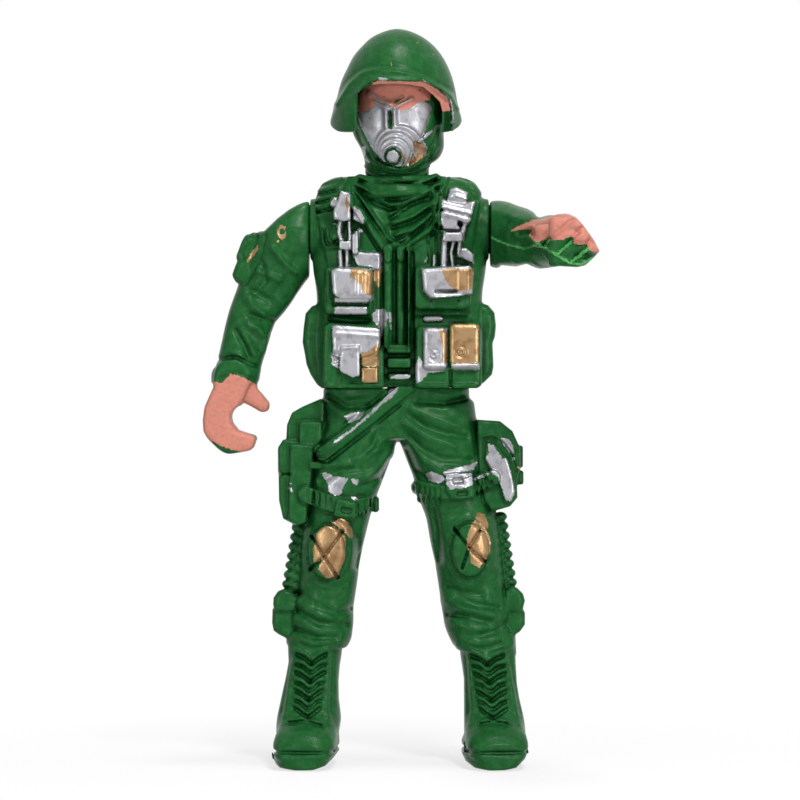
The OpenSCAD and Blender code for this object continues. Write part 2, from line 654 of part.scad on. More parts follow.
// The belt that crosses the right hip: across and forward from the hips' middle, and up
hip_strap_shares = [[0.22, 0.99, 0.972], [-0.2, 1, 0.935], [-0.65, 0.97, 0.87], [-1.03, 0.62, 0.805]];
hip_strap_w = 1.8;

module leg_blocks(shares, side)
    for (s = shares)
        translate([side * (hip_w / 2 * s[3] - block_d), 0, leg_h * s[0]])
            rotate([90, 0, side * 90])
                pad(thigh_d * s[2], leg_h * s[1], block_d, corner_r * s[4], edge_r * (1 + s[4]));

// A band round the thigh, level front to back and higher on its outside
module thigh_band(side) {
    x = side * leg_x(side < 0 ? 0.41 : 0.34);
    z = boot_h + (leg_h - boot_h) * band_share;
    loft([for (k = [[-1, -1], [-0.8, 1], [0.8, 1], [1, -1]])
        [for (p = ring([x, 0, z + k[0] * band_h / 2], thigh_w / 2 * 0.9 + k[1] * band_t,
                       thigh_d / 2 * 0.93 + k[1] * band_t, trouser_e, trouser_n))
            [p.x, p.y, p.z + side * band_slope * (p.x - x)]]]);
    translate([x, -thigh_d / 2 * 0.93, z]) rotate([90, side * atan(band_slope), 0])
        pad(buckle_w, band_h * 0.9, 2 * band_t, corner_r / 2, edge_r / 2);
}

// How far out the side of the trousers is, at a share of their height
function trouser_side(share, shares) =
    leg_x(lookup(share, [for (s = shares) [s[0], s[1]]]))
    + thigh_w / 2 * lookup(share, [for (s = shares) [s[0], s[2]]]);

module rope(side, shares, out)
    loft([for (i = [0:2 * rope_beads])
        let (trouser_h = leg_h - boot_h,
             up = trouser_h * rope_share + rope_pitch * i / 2,
             notch = i % 2 == 0 ? rope_notch : 0,
             stand = out[0] + (out[1] - out[0]) * i / (2 * rope_beads) - notch,
             half = rope_w - notch / 2)
        ring([side * (trouser_side(up / trouser_h, shares) + stand - half), 0, boot_h + up], half,
             rope_r * (i % 2 == 0 ? 0.9 : 1.2), 2, small_n)]);

module knee_pad(side)
    translate([side * leg_x(0.66), -thigh_d / 2 * 0.6, knee_z]) rotate([90, 0, 0])
        pad(knee_w, knee_h, thigh_d / 2 * 0.23 + knee_d, knee_w / 2.1, knee_d / 2);

module legs() color("forestgreen") stand() difference() {
    union() {
        loft([for (s = hip_shares)
            ring([0, 0, leg_h + leg_h * s[0]], hip_w / 2 * s[1], hip_d / 2 * s[2], 2.8, trouser_n)]);
        for (side = [-1, 1]) {
            shares = side < 0 ? right_trouser_shares : left_trouser_shares;
            leg(side, shares);
            thigh_band(side);
            knee_pad(side);
            rope(side, shares, side < 0 ? right_rope_out : left_rope_out);
        }
        leg_blocks(right_block_shares, -1);
        leg_blocks(left_block_shares, 1);
        strap([for (s = hip_strap_shares) [hip_w / 2 * s[0], -hip_d / 2 * s[1], leg_h * s[2]]],
              [0, -1, 0], hip_strap_w, band_t * 2);
    }
    translate([0, 0, leg_h]) mirror([0, 0, 1]) peg_hole();
}

helmet();
head();
neck_peg();
torso_front();
torso_back();
shoulder_peg_right();
shoulder_peg_left();
arm_right();
arm_left();
waist_peg();
legs();
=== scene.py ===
"""The looks of a toy soldier figure in painted green plastic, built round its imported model.

Each rigid piece is sculpted as a grid of distances, in millimetres, then meshed and painted.
Places on the front come from the photograph's own pixels, through the camera set out below.
"""

import json
import math

import bpy
import numpy as np
import openvdb
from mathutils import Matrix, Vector


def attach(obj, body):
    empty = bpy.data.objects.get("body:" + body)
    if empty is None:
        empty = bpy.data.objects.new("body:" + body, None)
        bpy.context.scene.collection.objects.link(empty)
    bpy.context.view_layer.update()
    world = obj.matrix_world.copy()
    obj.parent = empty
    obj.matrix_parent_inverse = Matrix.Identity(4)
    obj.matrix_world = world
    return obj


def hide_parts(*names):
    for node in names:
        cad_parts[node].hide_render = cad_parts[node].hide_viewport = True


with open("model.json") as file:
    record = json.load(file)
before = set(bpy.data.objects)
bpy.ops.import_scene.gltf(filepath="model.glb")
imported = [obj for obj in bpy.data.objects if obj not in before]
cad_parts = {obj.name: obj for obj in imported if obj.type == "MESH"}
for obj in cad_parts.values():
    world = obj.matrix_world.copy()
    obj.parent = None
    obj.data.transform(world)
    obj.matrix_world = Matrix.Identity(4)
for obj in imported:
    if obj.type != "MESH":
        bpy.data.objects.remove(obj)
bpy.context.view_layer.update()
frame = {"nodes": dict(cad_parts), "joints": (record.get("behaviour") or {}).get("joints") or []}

# A millimetre in metres, and the joints' pivots in millimetres, which are where the pieces meet
MM = 0.001
PIVOT = {joint["name"]: [c / MM for c in joint["pos_m"]] for joint in frame["joints"]}
CENTRE_Y = PIVOT["waist"][1]
HEM_Z = PIVOT["waist"][2]
NECK_X = PIVOT["neck"][0]
NECK_Z = PIVOT["neck"][2]
ARM_X = PIVOT["shoulder_left"][0]
ARM_Z = PIVOT["shoulder_left"][2]
# The round trim of the armhole, the seat inside it and the arm's hub, which turns in the seat
TRIM_FROM_X = 10.8
TRIM_RADIUS = 4.15
SEAT_RADIUS = 3.45
HUB_RADIUS = 3.25
# How the photograph shows the figure posed
HEAD_TURN = math.radians(6)
LEFT_RAISE = math.radians(84)

# The photograph's view: pixels per millimetre at the figure's axis, the column of that axis, the
# row of the floor, and the camera's height and distance from the axis
PX = 7.35
AXIS_U = 399.5
FLOOR_V = 764
EYE_Z = 49.6
EYE_Y = 500

VOXEL = 0.2
FINE_VOXEL = 0.16
FAR = 4.0
# The range of depth that a stamp reaches, unless a step gives another, and a shallower one
FRONT = (-14.0, 0.0)
SHALLOW = (-14.0, -1.0)


def photo(x, y, z):
    """Where the photograph shows a point, in pixels across and down."""
    near = EYE_Y / (EYE_Y + y)
    return AXIS_U + PX * x * near, FLOOR_V - PX * (EYE_Z + (z - EYE_Z) * near)


def at(u, v, y):
    """The point at depth y that the photograph shows at a pixel."""
    near = EYE_Y / (EYE_Y + y)
    return (u - AXIS_U) / PX / near, y, EYE_Z + ((FLOOR_V - v) / PX - EYE_Z) / near


def soft_min(a, b, k):
    """The smaller of two distances, blended over k."""
    if k <= 0:
        return np.minimum(a, b)
    h = np.clip(0.5 + 0.5 * (b - a) / k, 0, 1)
    return b + (a - b) * h - k * h * (1 - h)


def soft_max(a, b, k):
    return -soft_min(-a, -b, k)


def smooth(low, high, v):
    t = np.clip((v - low) / (high - low), 0, 1)
    return t * t * (3 - 2 * t)


# Forms in space: each has its lowest and highest corner and its distance


class Form:
    def __init__(self, low, high, distance):
        self.low = np.array(low, float)
        self.high = np.array(high, float)
        self.distance = distance


def ball(c, r):
    """An ellipsoid with middle c and radii r."""

    def distance(x, y, z):
        q = [(v - m) / s for v, m, s in zip((x, y, z), c, r)]
        k0 = np.sqrt(q[0] ** 2 + q[1] ** 2 + q[2] ** 2)
        k1 = np.sqrt((q[0] / r[0]) ** 2 + (q[1] / r[1]) ** 2 + (q[2] / r[2]) ** 2)
        return k0 * (k0 - 1) / np.maximum(k1, 1e-4)

    return Form(np.subtract(c, r), np.add(c, r), distance)


def rod(points, radii):
    """A round rod through points, with a radius at each."""
    points = np.array(points, float)
    radii = np.broadcast_to(radii, len(points))

    def distance(x, y, z):
        best = None
        for a, b, ra, rb in zip(points, points[1:], radii, radii[1:]):
            d = b - a
            t = ((x - a[0]) * d[0] + (y - a[1]) * d[1] + (z - a[2]) * d[2]) / (d @ d)
            t = np.clip(t, 0, 1)
            gap = (x - a[0] - t * d[0]) ** 2 + (y - a[1] - t * d[1]) ** 2 + (z - a[2] - t * d[2]) ** 2
            gap = np.sqrt(gap) - (ra + (rb - ra) * t)
            best = gap if best is None else np.minimum(best, gap)
        return best

    return Form(points.min(0) - max(radii), points.max(0) + max(radii), distance)


def block(c, half, corner=0.4, lean=0.0, yaw=0.0):
    """A box with round edges, leaned about Y and then yawed about Z."""
    cl, sl, cy, sy = math.cos(lean), math.sin(lean), math.cos(yaw), math.sin(yaw)

    def distance(x, y, z):
        x, y, z = x - c[0], y - c[1], z - c[2]
        x, y = x * cy + y * sy, y * cy - x * sy
        x, z = x * cl + z * sl, z * cl - x * sl
        q = [np.abs(v) - h + corner for v, h in zip((x, y, z), half)]
        outside = np.sqrt(sum(np.maximum(v, 0) ** 2 for v in q))
        inside = np.minimum(np.maximum(np.maximum(q[0], q[1]), q[2]), 0)
        return outside + inside - corner

    reach = np.linalg.norm(half) if lean or yaw else np.array(half)
    return Form(np.subtract(c, reach), np.add(c, reach), distance)


def disc(a, b, radius, corner):
    """A round plug from a to b with round edges."""
    a, b = np.array(a, float), np.array(b, float)
    long = np.linalg.norm(b - a)
    d = (b - a) / long

    def distance(x, y, z):
        t = (x - a[0]) * d[0] + (y - a[1]) * d[1] + (z - a[2]) * d[2]
        wide = (x - a[0] - t * d[0]) ** 2 + (y - a[1] - t * d[1]) ** 2 + (z - a[2] - t * d[2]) ** 2
        return soft_max(np.sqrt(wide) - radius, np.maximum(-t, t - long), corner)

    reach = radius + 0.2
    return Form(np.minimum(a, b) - reach, np.maximum(a, b) + reach, distance)


def tower(rows, e, k=0.5, along=2):
    """A stack of cross-sections: each row is the height, the middle and half sizes across it."""
    rows = np.array(sorted(rows), float)
    fine = np.linspace(rows[0, 0], rows[-1, 0], 400)
    step = np.interp(fine, rows[:, 0], np.arange(len(rows)))
    reach = np.maximum(1, 400 / len(rows) / 2)
    kernel = np.hanning(2 * int(reach) + 3)[1:-1]
    kernel /= kernel.sum()
    values = []
    for column in rows.T[1:]:
        raw = np.interp(step, np.arange(len(rows)), column)
        wide = np.pad(raw, len(kernel) // 2, mode="edge")
        values.append(np.convolve(wide, kernel, mode="valid"))
    across = [i for i in range(3) if i != along]

    def distance(*p):
        h = p[along]
        cx, cy, a, b = (np.interp(h, fine, v) for v in values)
        qx = np.abs(p[across[0]] - cx) / a
        qy = np.abs(p[across[1]] - cy) / b
        total = (qx**e + qy**e) ** (1 / e) + 1e-6
        slope = np.sqrt((qx ** (e - 1) / a) ** 2 + (qy ** (e - 1) / b) ** 2) * total ** (1 - e)
        side = (total - 1) / np.maximum(slope, 0.02)
        return soft_max(side, np.maximum(rows[0, 0] - h, h - rows[-1, 0]), k)

    low, high = np.zeros(3), np.zeros(3)
    low[along], high[along] = rows[0, 0], rows[-1, 0]
    for i, axis in enumerate(across):
        low[axis] = (rows[:, 1 + i] - rows[:, 3 + i]).min()
        high[axis] = (rows[:, 1 + i] + rows[:, 3 + i]).max()
    return Form(low, high, distance)


def slab(points, radii, y, half, k):
    """A plate across Y whose side view is a line of round spots joined up."""
    flat = rod([(px, 0, pz) for px, pz in points], radii)

    def distance(px, py, pz):
        return soft_max(flat.distance(px, 0, pz), np.abs(py - y) - half, k)

    low, high = flat.low.copy(), flat.high.copy()
    low[1], high[1] = y - half, y + half
    return Form(low, high, distance)


def moved(form, matrix, shift):
    """A form turned by a matrix and then shifted."""
    matrix = np.array(matrix, float)
    corners = [
        matrix @ np.where(pick, form.high, form.low) + shift
        for pick in np.ndindex(2, 2, 2)
    ]

    def distance(x, y, z):
        x, y, z = x - shift[0], y - shift[1], z - shift[2]
        back = matrix.T
        return form.distance(*(row[0] * x + row[1] * y + row[2] * z for row in back))

    return Form(np.min(corners, 0), np.max(corners, 0), distance)


# Stamps: shapes drawn on the photograph, whose distance is in pixels


class Stamp:
    def __init__(self, box, distance):
        self.box = box
        self.distance = distance


def pairs(pixels):
    """Pixels as rows of two, from a flat list of across and down."""
    return np.reshape(np.array(pixels, float), (-1, 2))


def shifted(pixels, across, down):
    return pairs(pixels) + (across, down)


def line(points, half=0.0):
    """A line through points, with a half width."""
    points = pairs(points)

    def distance(u, v):
        best = None
        for a, b in zip(points, points[1:]):
            d = b - a
            t = np.clip(((u - a[0]) * d[0] + (v - a[1]) * d[1]) / (d @ d), 0, 1)
            gap = np.sqrt((u - a[0] - t * d[0]) ** 2 + (v - a[1] - t * d[1]) ** 2)
            best = gap if best is None else np.minimum(best, gap)
        return best - half

    return Stamp((*(points.min(0) - half), *(points.max(0) + half)), distance)


def area(points):
    """A closed outline."""
    points = pairs(points)

    def distance(u, v):
        best = 1e9
        inside = np.zeros(np.broadcast(u, v).shape, bool)
        for a, b in zip(points, np.roll(points, -1, 0)):
            d = b - a
            t = np.clip(((u - a[0]) * d[0] + (v - a[1]) * d[1]) / (d @ d), 0, 1)
            best = np.minimum(best, (u - a[0] - t * d[0]) ** 2 + (v - a[1] - t * d[1]) ** 2)
            if a[1] != b[1]:
                crosses = (a[1] > v) != (b[1] > v)
                inside ^= crosses & (u < a[0] + (v - a[1]) * d[0] / d[1])
        return np.where(inside, -1, 1) * np.sqrt(best)

    return Stamp((*points.min(0), *points.max(0)), distance)


def rect(u0, v0, u1, v1, corner=1.5, lean=0.0):
    """A rectangle with round corners, leaned clockwise."""
    c, s = math.cos(lean), math.sin(lean)
    mu, mv, hu, hv = (u0 + u1) / 2, (v0 + v1) / 2, (u1 - u0) / 2, (v1 - v0) / 2

    def distance(u, v):
        u, v = u - mu, v - mv
        u, v = u * c + v * s, v * c - u * s
        qu, qv = np.abs(u) - hu + corner, np.abs(v) - hv + corner
        outside = np.sqrt(np.maximum(qu, 0) ** 2 + np.maximum(qv, 0) ** 2)
        return outside + np.minimum(np.maximum(qu, qv), 0) - corner

    grow = abs(s) * max(hu, hv)
    return Stamp((u0 - grow, v0 - grow, u1 + grow, v1 + grow), distance)


def oval(u, v, a, b, lean=0.0):
    """An ellipse, leaned clockwise."""
    c, s = math.cos(lean), math.sin(lean)

    def distance(pu, pv):
        pu, pv = pu - u, pv - v
        pu, pv = pu * c + pv * s, pv * c - pu * s
        k0 = np.sqrt((pu / a) ** 2 + (pv / b) ** 2)
        k1 = np.sqrt((pu / a**2) ** 2 + (pv / b**2) ** 2)
        return k0 * (k0 - 1) / np.maximum(k1, 1e-4)

    reach = max(a, b)
    return Stamp((u - reach, v - reach, u + reach, v + reach), distance)


def ring(u, v, radius, half):
    """A round line."""
    return Stamp((u - radius, v - radius, u + radius, v + radius),
                 lambda pu, pv: np.abs(np.hypot(pu - u, pv - v) - radius) - half)


class Clay:
    """A block of clay: distances to the surface on a grid, in millimetres."""

    def __init__(self, low, high, voxel=VOXEL):
        self.voxel = voxel
        self.low = np.array(low, np.float32)
        self.count = np.ceil((np.array(high) - self.low) / voxel).astype(int) + 1
        self.d = np.full(self.count, FAR, np.float32)

    def window(self, low, high):
        """The part of the grid between two corners, and the places in it."""
        first = np.floor((np.array(low) - self.low) / self.voxel).astype(int)
        last = np.ceil((np.array(high) - self.low) / self.voxel).astype(int) + 1
        first = np.clip(first, 0, self.count)
        last = np.clip(last, 0, self.count)
        where = tuple(slice(a, b) for a, b in zip(first, last))
        axes = [
            (self.low[i] + self.voxel * np.arange(first[i], last[i])).astype(np.float32)
            for i in range(3)
        ]
        return where, np.meshgrid(*axes, indexing="ij", sparse=True)

    def add(self, form, k=0.3):
        where, p = self.window(form.low - k - 1, form.high + k + 1)
        self.d[where] = soft_min(self.d[where], form.distance(*p), k)

    def cut(self, form, k=0.1):
        where, p = self.window(form.low - k - 1, form.high + k + 1)
        self.d[where] = soft_max(self.d[where], -form.distance(*p), k)

    def keep(self, distance, k=0.05):
        """Cuts away what lies where a distance is above zero."""
        where, p = self.window([-1e3] * 3, [1e3] * 3)
        self.d[where] = soft_max(self.d[where], distance(*p), k)

    def stamped(self, stamp, depth, spare):
        """The part of the grid that a stamp reaches, and the stamp's distance and the depth there."""
        u0, v0, u1, v1 = stamp.box
        corners = [
            at(u, v, y)
            for u in (u0 - spare, u1 + spare)
            for v in (v0 - spare, v1 + spare)
            for y in depth
        ]
        where, (x, y, z) = self.window(np.min(corners, 0), np.max(corners, 0))
        u, v = photo(x, y, z)
        return where, stamp.distance(u, v) / PX, y

    def lay(self, stamp, high, edge=0.12, depth=FRONT, k=0.08):
        """Raises the surface inside a stamp, following its form."""
        where, inside, y = self.stamped(stamp, depth, 12)
        slice_d = self.d[where]
        plate = soft_max(slice_d - high, soft_max(inside, y - depth[1], edge), edge)
        self.d[where] = soft_min(slice_d, plate, k)

    def press(self, stamp, deep, edge=0.12, depth=FRONT):
        """Sinks the surface inside a stamp."""
        where, inside, y = self.stamped(stamp, depth, 8)
        slice_d = self.d[where]
        tool = soft_max(inside, y - depth[1], edge)
        self.d[where] = soft_max(slice_d, soft_min(-tool, slice_d + deep, edge), edge)

    def ridge(self, along, high, wide, depth=FRONT):
        """Raises a soft ridge along a stamp or pixels, or a crease where high is below zero."""
        stamp = along if isinstance(along, Stamp) else line(along)
        where, gap, y = self.stamped(stamp, depth, wide * 2.6)
        fade = smooth(depth[1], depth[1] - 1.5, y)
        self.d[where] -= high * np.exp(-((np.maximum(gap, 0) * PX / wide) ** 2)) * fade

    def fold(self, pixels, high, wide, shift, deep, narrow, depth=FRONT):
        """A ridge with a crease beside it."""
        self.ridge(pixels, high, wide, depth)
        self.ridge(shifted(pixels, *shift), deep, narrow, depth)

    def build(self, stamp, near, edge, far=-4.0, k=0.15):
        """Adds a solid with a stamp's outline between two depths."""
        where, inside, y = self.stamped(stamp, (near - 1, far + 1), 10)
        solid = soft_max(inside, np.maximum(near - y, y - far), edge)
        self.d[where] = soft_min(self.d[where], solid, k)

    def trim(self, stamp, depth, k):
        """Cuts away what stands outside a stamp."""
        where, inside, y = self.stamped(stamp, depth, 25)
        self.d[where] = soft_max(self.d[where], inside - k / 8 + 0 * y, k)

    def pierce(self, stamp, depth, k):
        """Cuts a hole with a stamp's outline, as deep as the depth's far end."""
        where, inside, y = self.stamped(stamp, depth, 10)
        self.d[where] = soft_max(self.d[where], -soft_max(inside, y - depth[1], 0.1), k)

    def work(self, steps):
        """Works through steps, each a tool, what it is set on and its measures."""
        for tool, *rest in steps:
            tool(self, *rest)

    def sample(self, points):
        """The distance at points, between the grid's own."""
        q = np.clip((points - self.low) / self.voxel, 0, self.count - 1.001)
        i = q.astype(int)
        f = (q - i).astype(np.float32)
        total = 0
        for corner in np.ndindex(2, 2, 2):
            w = np.prod(np.where(corner, f, 1 - f), axis=1)
            j = i + corner
            total = total + w * self.d[j[:, 0], j[:, 1], j[:, 2]]
        return total

    def mesh(self, name):
        """A Blender object of the surface, in metres and in the row frame."""
        grid = openvdb.FloatGrid(FAR)
        grid.copyFromArray(self.d)
        points, quads = grid.convertToQuads(isovalue=0)
        points = points * self.voxel + self.low
        made = new_object(name, points, quads)
        normals = vertex_normals(made)
        # How shut in each point is, stored so that the material can paint shade into creases
        reach = 0.9
        open_air = self.sample(points + normals * reach) / reach
        store(made, "painted_crease_shade", np.clip(1 - open_air, 0, 1))
        return made, points, normals


# The tools of a step, which is a row of a table below. A step goes on with a stamp, or a flat list of
# pixels, and with measures in millimetres, save for the width of a ridge, which is in pixels.
lay, press, ridge, fold, build = Clay.lay, Clay.press, Clay.ridge, Clay.fold, Clay.build


def new_object(name, points, faces):
    """A smooth object from points in millimetres round the body's axis."""
    mesh = bpy.data.meshes.new(name)
    rows = np.array(points, float)
    rows[:, 1] += CENTRE_Y
    mesh.from_pydata((rows * MM).tolist(), [], [list(face) for face in faces])
    mesh.validate()
    mesh.shade_smooth()
    made = bpy.data.objects.new(name, mesh)
    bpy.context.scene.collection.objects.link(made)
    return made


def vertex_normals(made):
    normals = np.zeros(len(made.data.vertices) * 3, np.float32)
    made.data.vertex_normals.foreach_get("vector", normals)
    return normals.reshape(-1, 3)


def store(made, name, values):
    attribute = made.data.attributes.new(name, "FLOAT", "POINT")
    attribute.data.foreach_set("value", np.asarray(values, np.float32))


def paint(made, points, normals, coats, reach, turned_away, flesh_reach=None):
    """Stores, for each colour, how far inside its sprayed patches each point lies.

    Paint ends at the depth reach, and where the surface turns away from the front.
    """
    u, v = photo(*points.T)
    for colour in COLOURS:
        inside = np.full(len(points), -1.0)
        for stamp in coats.get(colour, []):
            inside = np.maximum(inside, -stamp.distance(u, v) / PX)
        for stamp in coats.get("bare", []):
            inside = np.minimum(inside, stamp.distance(u, v) / PX)
        # The flash's painted highlight keeps to faces turned further towards the front
        away = turned_away - 0.5 if colour == "flash_highlight" else turned_away
        inside = np.minimum(inside, (away - normals[:, 1]) * 2)
        far = flesh_reach if colour == "flesh" and flesh_reach is not None else reach
        inside = np.minimum(inside, far - points[:, 1])
        store(made, colour, np.clip(inside, -1, 1))


# Materials


def nodes_of(name):
    material = bpy.data.materials.new(name)
    material.use_nodes = True
    tree = material.node_tree
    tree.nodes.clear()
    out = tree.nodes.new("ShaderNodeOutputMaterial")
    shader = tree.nodes.new("ShaderNodeBsdfPrincipled")
    tree.links.new(shader.outputs[0], out.inputs[0])
    return material, tree, shader


def make(tree, kind, settings=None, **inputs):
    """A node with its settings and its input values or links."""
    node = tree.nodes.new(kind)
    for key, value in (settings or {}).items():
        setattr(node, key, value)
    for key, value in inputs.items():
        socket = node.inputs[int(key[1:]) if key[0] == "i" and key[1:].isdigit() else key]
        if isinstance(value, bpy.types.NodeSocket):
            tree.links.new(value, socket)
        else:
            socket.default_value = value
    return node


def math_node(tree, operation, a, b=0.0):
    return make(tree, "ShaderNodeMath", {"operation": operation}, i0=a, i1=b).outputs[0]


def noise(tree, place, scale, detail=3.0, rough=0.5):
    node = make(tree, "ShaderNodeTexNoise", Vector=place, Scale=scale, Detail=detail, Roughness=rough)
    return node.outputs["Fac"]


def mix_colour(tree, fac, a, b):
    node = tree.nodes.new("ShaderNodeMix")
    node.data_type = "RGBA"
    for key, value in (("Factor_Float", fac), ("A_Color", a), ("B_Color", b)):
        socket = next(s for s in node.inputs if s.identifier == key)
        if isinstance(value, bpy.types.NodeSocket):
            tree.links.new(value, socket)
        else:
            socket.default_value = value
    return next(s for s in node.outputs if s.identifier == "Result_Color")


def ramp(tree, value, low, high, to_low=0.0, to_high=1.0):
    node = make(tree, "ShaderNodeMapRange", {"interpolation_type": "SMOOTHSTEP"}, i0=value)
    for i, number in zip((1, 2, 3, 4), (low, high, to_low, to_high)):
        node.inputs[i].default_value = number
    return node.outputs[0]


GREEN = (0.008, 0.07, 0.016, 1)
# A darker green, for random mottling and for the shade painted into creases
DEEP_GREEN = (0.002, 0.024, 0.005, 1)
PALE_GREEN = (0.016, 0.1, 0.026, 1)
BLACK = (0.012, 0.014, 0.012, 1)
PALE_BLACK = (0.03, 0.035, 0.03, 1)
# Each sprayed coat: its colour, a second colour it varies to, how metallic and how rough it is
COATS = {
    "flesh": ((0.46, 0.17, 0.125, 1), (0.34, 0.16, 0.12, 1), 0.0, 0.38),
    "silver": ((0.32, 0.32, 0.34, 1), (0.22, 0.22, 0.235, 1), 0.45, 0.3),
    "copper": ((0.22, 0.12, 0.06, 1), (0.34, 0.3, 0.27, 1), 0.5, 0.3),
    "gold": ((0.3, 0.19, 0.095, 1), (0.2, 0.115, 0.05, 1), 0.5, 0.28),
    # Pale green on the mould's flash and finger edges: the flash is real, its paleness a painted
    # highlight
    "flash_highlight": ((0.06, 0.27, 0.07, 1), (0.03, 0.17, 0.045, 1), 0.0, 0.3),
}
COLOURS = list(COATS)
# Metres to millimetres, so that scales below are counts per millimetre
PER_MM = (1000.0, 1000.0, 1000.0)


def place_mm(tree):
    """Places on the object, in millimetres."""
    place = make(tree, "ShaderNodeTexCoord").outputs["Object"]
    mapping = make(tree, "ShaderNodeMapping", {"vector_type": "POINT"}, Vector=place, Scale=PER_MM)
    return mapping.outputs[0]


def attribute(tree, name):
    return make(tree, "ShaderNodeAttribute", {"attribute_name": name}).outputs["Fac"]


def blend(tree, fac, a, b):
    """A value that goes from a to b, which is a number."""
    kept = math_node(tree, "MULTIPLY", a, math_node(tree, "SUBTRACT", 1.0, fac))
    return math_node(tree, "ADD", kept, math_node(tree, "MULTIPLY", fac, b))


def painted_plastic():
    """Glossy green plastic under coats of sprayed paint, which end in ragged edges, with painted shade
    in its creases.
    """
    material, tree, shader = nodes_of("painted_plastic")
    place = place_mm(tree)
    fine = noise(tree, place, 2.2, 4.0, 0.6)
    ragged = noise(tree, place, 3.0, 3.0, 0.65)
    grain = noise(tree, place, 9.0, 2.0)
    cloud = noise(tree, place, 0.9, 4.0, 0.6)
    painted_crease_shade = attribute(tree, "painted_crease_shade")

    colour = mix_colour(tree, ramp(tree, cloud, 0.35, 0.75), GREEN, PALE_GREEN)
    colour = mix_colour(tree, ramp(tree, fine, 0.3, 0.8, 0.0, 0.25), colour, DEEP_GREEN)
    # Painted shade: the green goes darker in creases and hollows, where shade falls
    colour = mix_colour(tree, ramp(tree, painted_crease_shade, 0.15, 0.85, 0.0, 0.85), colour, DEEP_GREEN)
    rough = ramp(tree, fine, 0.2, 0.8, 0.22, 0.36)
    metal = 0.0
    raised = math_node(tree, "MULTIPLY", fine, 0.35)
    for name, (main, other, metallic, roughness) in COATS.items():
        edge = math_node(tree, "ADD", attribute(tree, name), ramp(tree, ragged, 0.25, 0.75, -0.14, 0.1))
        coat = ramp(tree, edge, -0.02, 0.03)
        tone = mix_colour(tree, ramp(tree, cloud if metallic else fine, 0.45, 0.68), main, other)
        colour = mix_colour(tree, coat, colour, tone)
        metal = blend(tree, coat, metal, metallic)
        rough = blend(tree, coat, rough, roughness)
        raised = math_node(tree, "ADD", raised, math_node(tree, "MULTIPLY", coat, 0.5))
    raised = math_node(tree, "ADD", raised, math_node(tree, "MULTIPLY", grain, 0.12))
    bump = make(tree, "ShaderNodeBump", Strength=0.5, Distance=0.00016, Height=raised)
    made = {"Base Color": colour, "Metallic": metal, "Roughness": rough, "Normal": bump.outputs[0]}
    for key, value in made.items():
        tree.links.new(value, shader.inputs[key])
    shader.inputs["IOR"].default_value = 1.5
    shader.inputs["Specular IOR Level"].default_value = 0.08
    return material


def peg_plastic():
    """Satin black plastic for the pegs inside."""
    material, tree, shader = nodes_of("peg_plastic")
    place = place_mm(tree)
    fine = noise(tree, place, 1.5, 4.0)
    tree.links.new(mix_colour(tree, fine, BLACK, PALE_BLACK), shader.inputs["Base Color"])
    tree.links.new(ramp(tree, fine, 0.2, 0.8, 0.4, 0.6), shader.inputs["Roughness"])
    bump = make(tree, "ShaderNodeBump", Strength=0.3, Distance=0.0001, Height=fine)
    tree.links.new(bump.outputs[0], shader.inputs["Normal"])
    return material


PLASTIC = painted_plastic()


def finish_piece(made, body, *nodes):
    made.data.materials.clear()
    made.data.materials.append(PLASTIC)
    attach(made, body)
    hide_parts(*nodes)


def turn_z(angle):
    c, s = math.cos(angle), math.sin(angle)
    return [[c, -s, 0], [s, c, 0], [0, 0, 1]]


HEAD_MATRIX = turn_z(-HEAD_TURN)
HEAD_SHIFT = [NECK_X, 0, 0]


# Helmet

HELMET_BOX = ((-9.8, -11.6, 84.4), (9.2, 11.4, 100.8))
HELMET_X = -0.5
HELMET_Z = 88.0
HELMET_SIZE = (8.35, 10.1, 12.0)
HELMET_WALL = 1.2
VISOR_FRONT = (-14.0, -3.0)
# The rim round the helmet: angles from the front, and heights from its widest line
RIM_ANGLES = (0, 46, 55, 66, 90, 130, 180)
RIM_HEIGHTS = (-2.45, -2.45, -2.3, -1.8, -0.6, -1.4, -1.8)
# The bead above the visor, the step of its rim and the opening for the face
VISOR_LINE = (
    336, 104, 339.6, 97.8, 348, 84.5, 359, 74, 367, 70.8, 376, 69.8, 396, 70.6, 413, 74, 426, 78.5,
    440.5, 87.8, 452, 95, 458, 108,
)
RIM_FACE = (
    356.5, 145, 357, 93, 363, 86.5, 371, 81, 378, 79.5, 392, 79.5, 410, 80, 422, 80.5, 433, 85.5,
    441, 90, 449.5, 98, 451.6, 107, 452.5, 122, 450, 133, 449, 145,
)
OPENING = (
    357, 145, 357.5, 93, 363, 88, 371, 84.5, 380, 83.5, 395, 83.5, 410, 84, 423, 86, 433, 94.5,
    440, 101.5, 442, 110, 442, 122, 441, 145,
)


def rim_height(t):
    fine = np.linspace(0, math.pi, 361)
    rough = np.interp(fine, np.radians(RIM_ANGLES), RIM_HEIGHTS)
    kernel = np.hanning(21)[1:-1]
    even = np.convolve(np.pad(rough, 9, mode="reflect"), kernel / kernel.sum(), mode="valid")
    return np.interp(t, fine, even)


def turned(x, y):
    """Places across and along the way the head faces."""
    c, s = math.cos(HEAD_TURN), math.sin(HEAD_TURN)
    return x * c - y * s, x * s + y * c


def dome(thinner, shift=0.0):
    """The helmet's egg shape, flared at its rim."""
    a, b, h = HELMET_SIZE

    def distance(x, y, z):
        x = x - HELMET_X - shift - 0.3 * smooth(88, 95, z)
        x, y = turned(x, y)
        up = np.maximum(z - HELMET_Z, 0)
        flare = 0.32 * smooth(91.2, 87.4, z) - thinner
        radii = (a + flare, b + flare, h - thinner)
        p = sum((v / r) ** 2 for v, r in zip((x, y, up), radii))
        q = sum((v / r**2) ** 2 for v, r in zip((x, y, up), radii))
        k0, k1 = np.sqrt(p), np.sqrt(q)
        return k0 * (k0 - 1) / np.maximum(k1, 1e-4)

    return Form((-9.6, -11.2, 84.4), (9.2, 11.2, 100.6), distance)


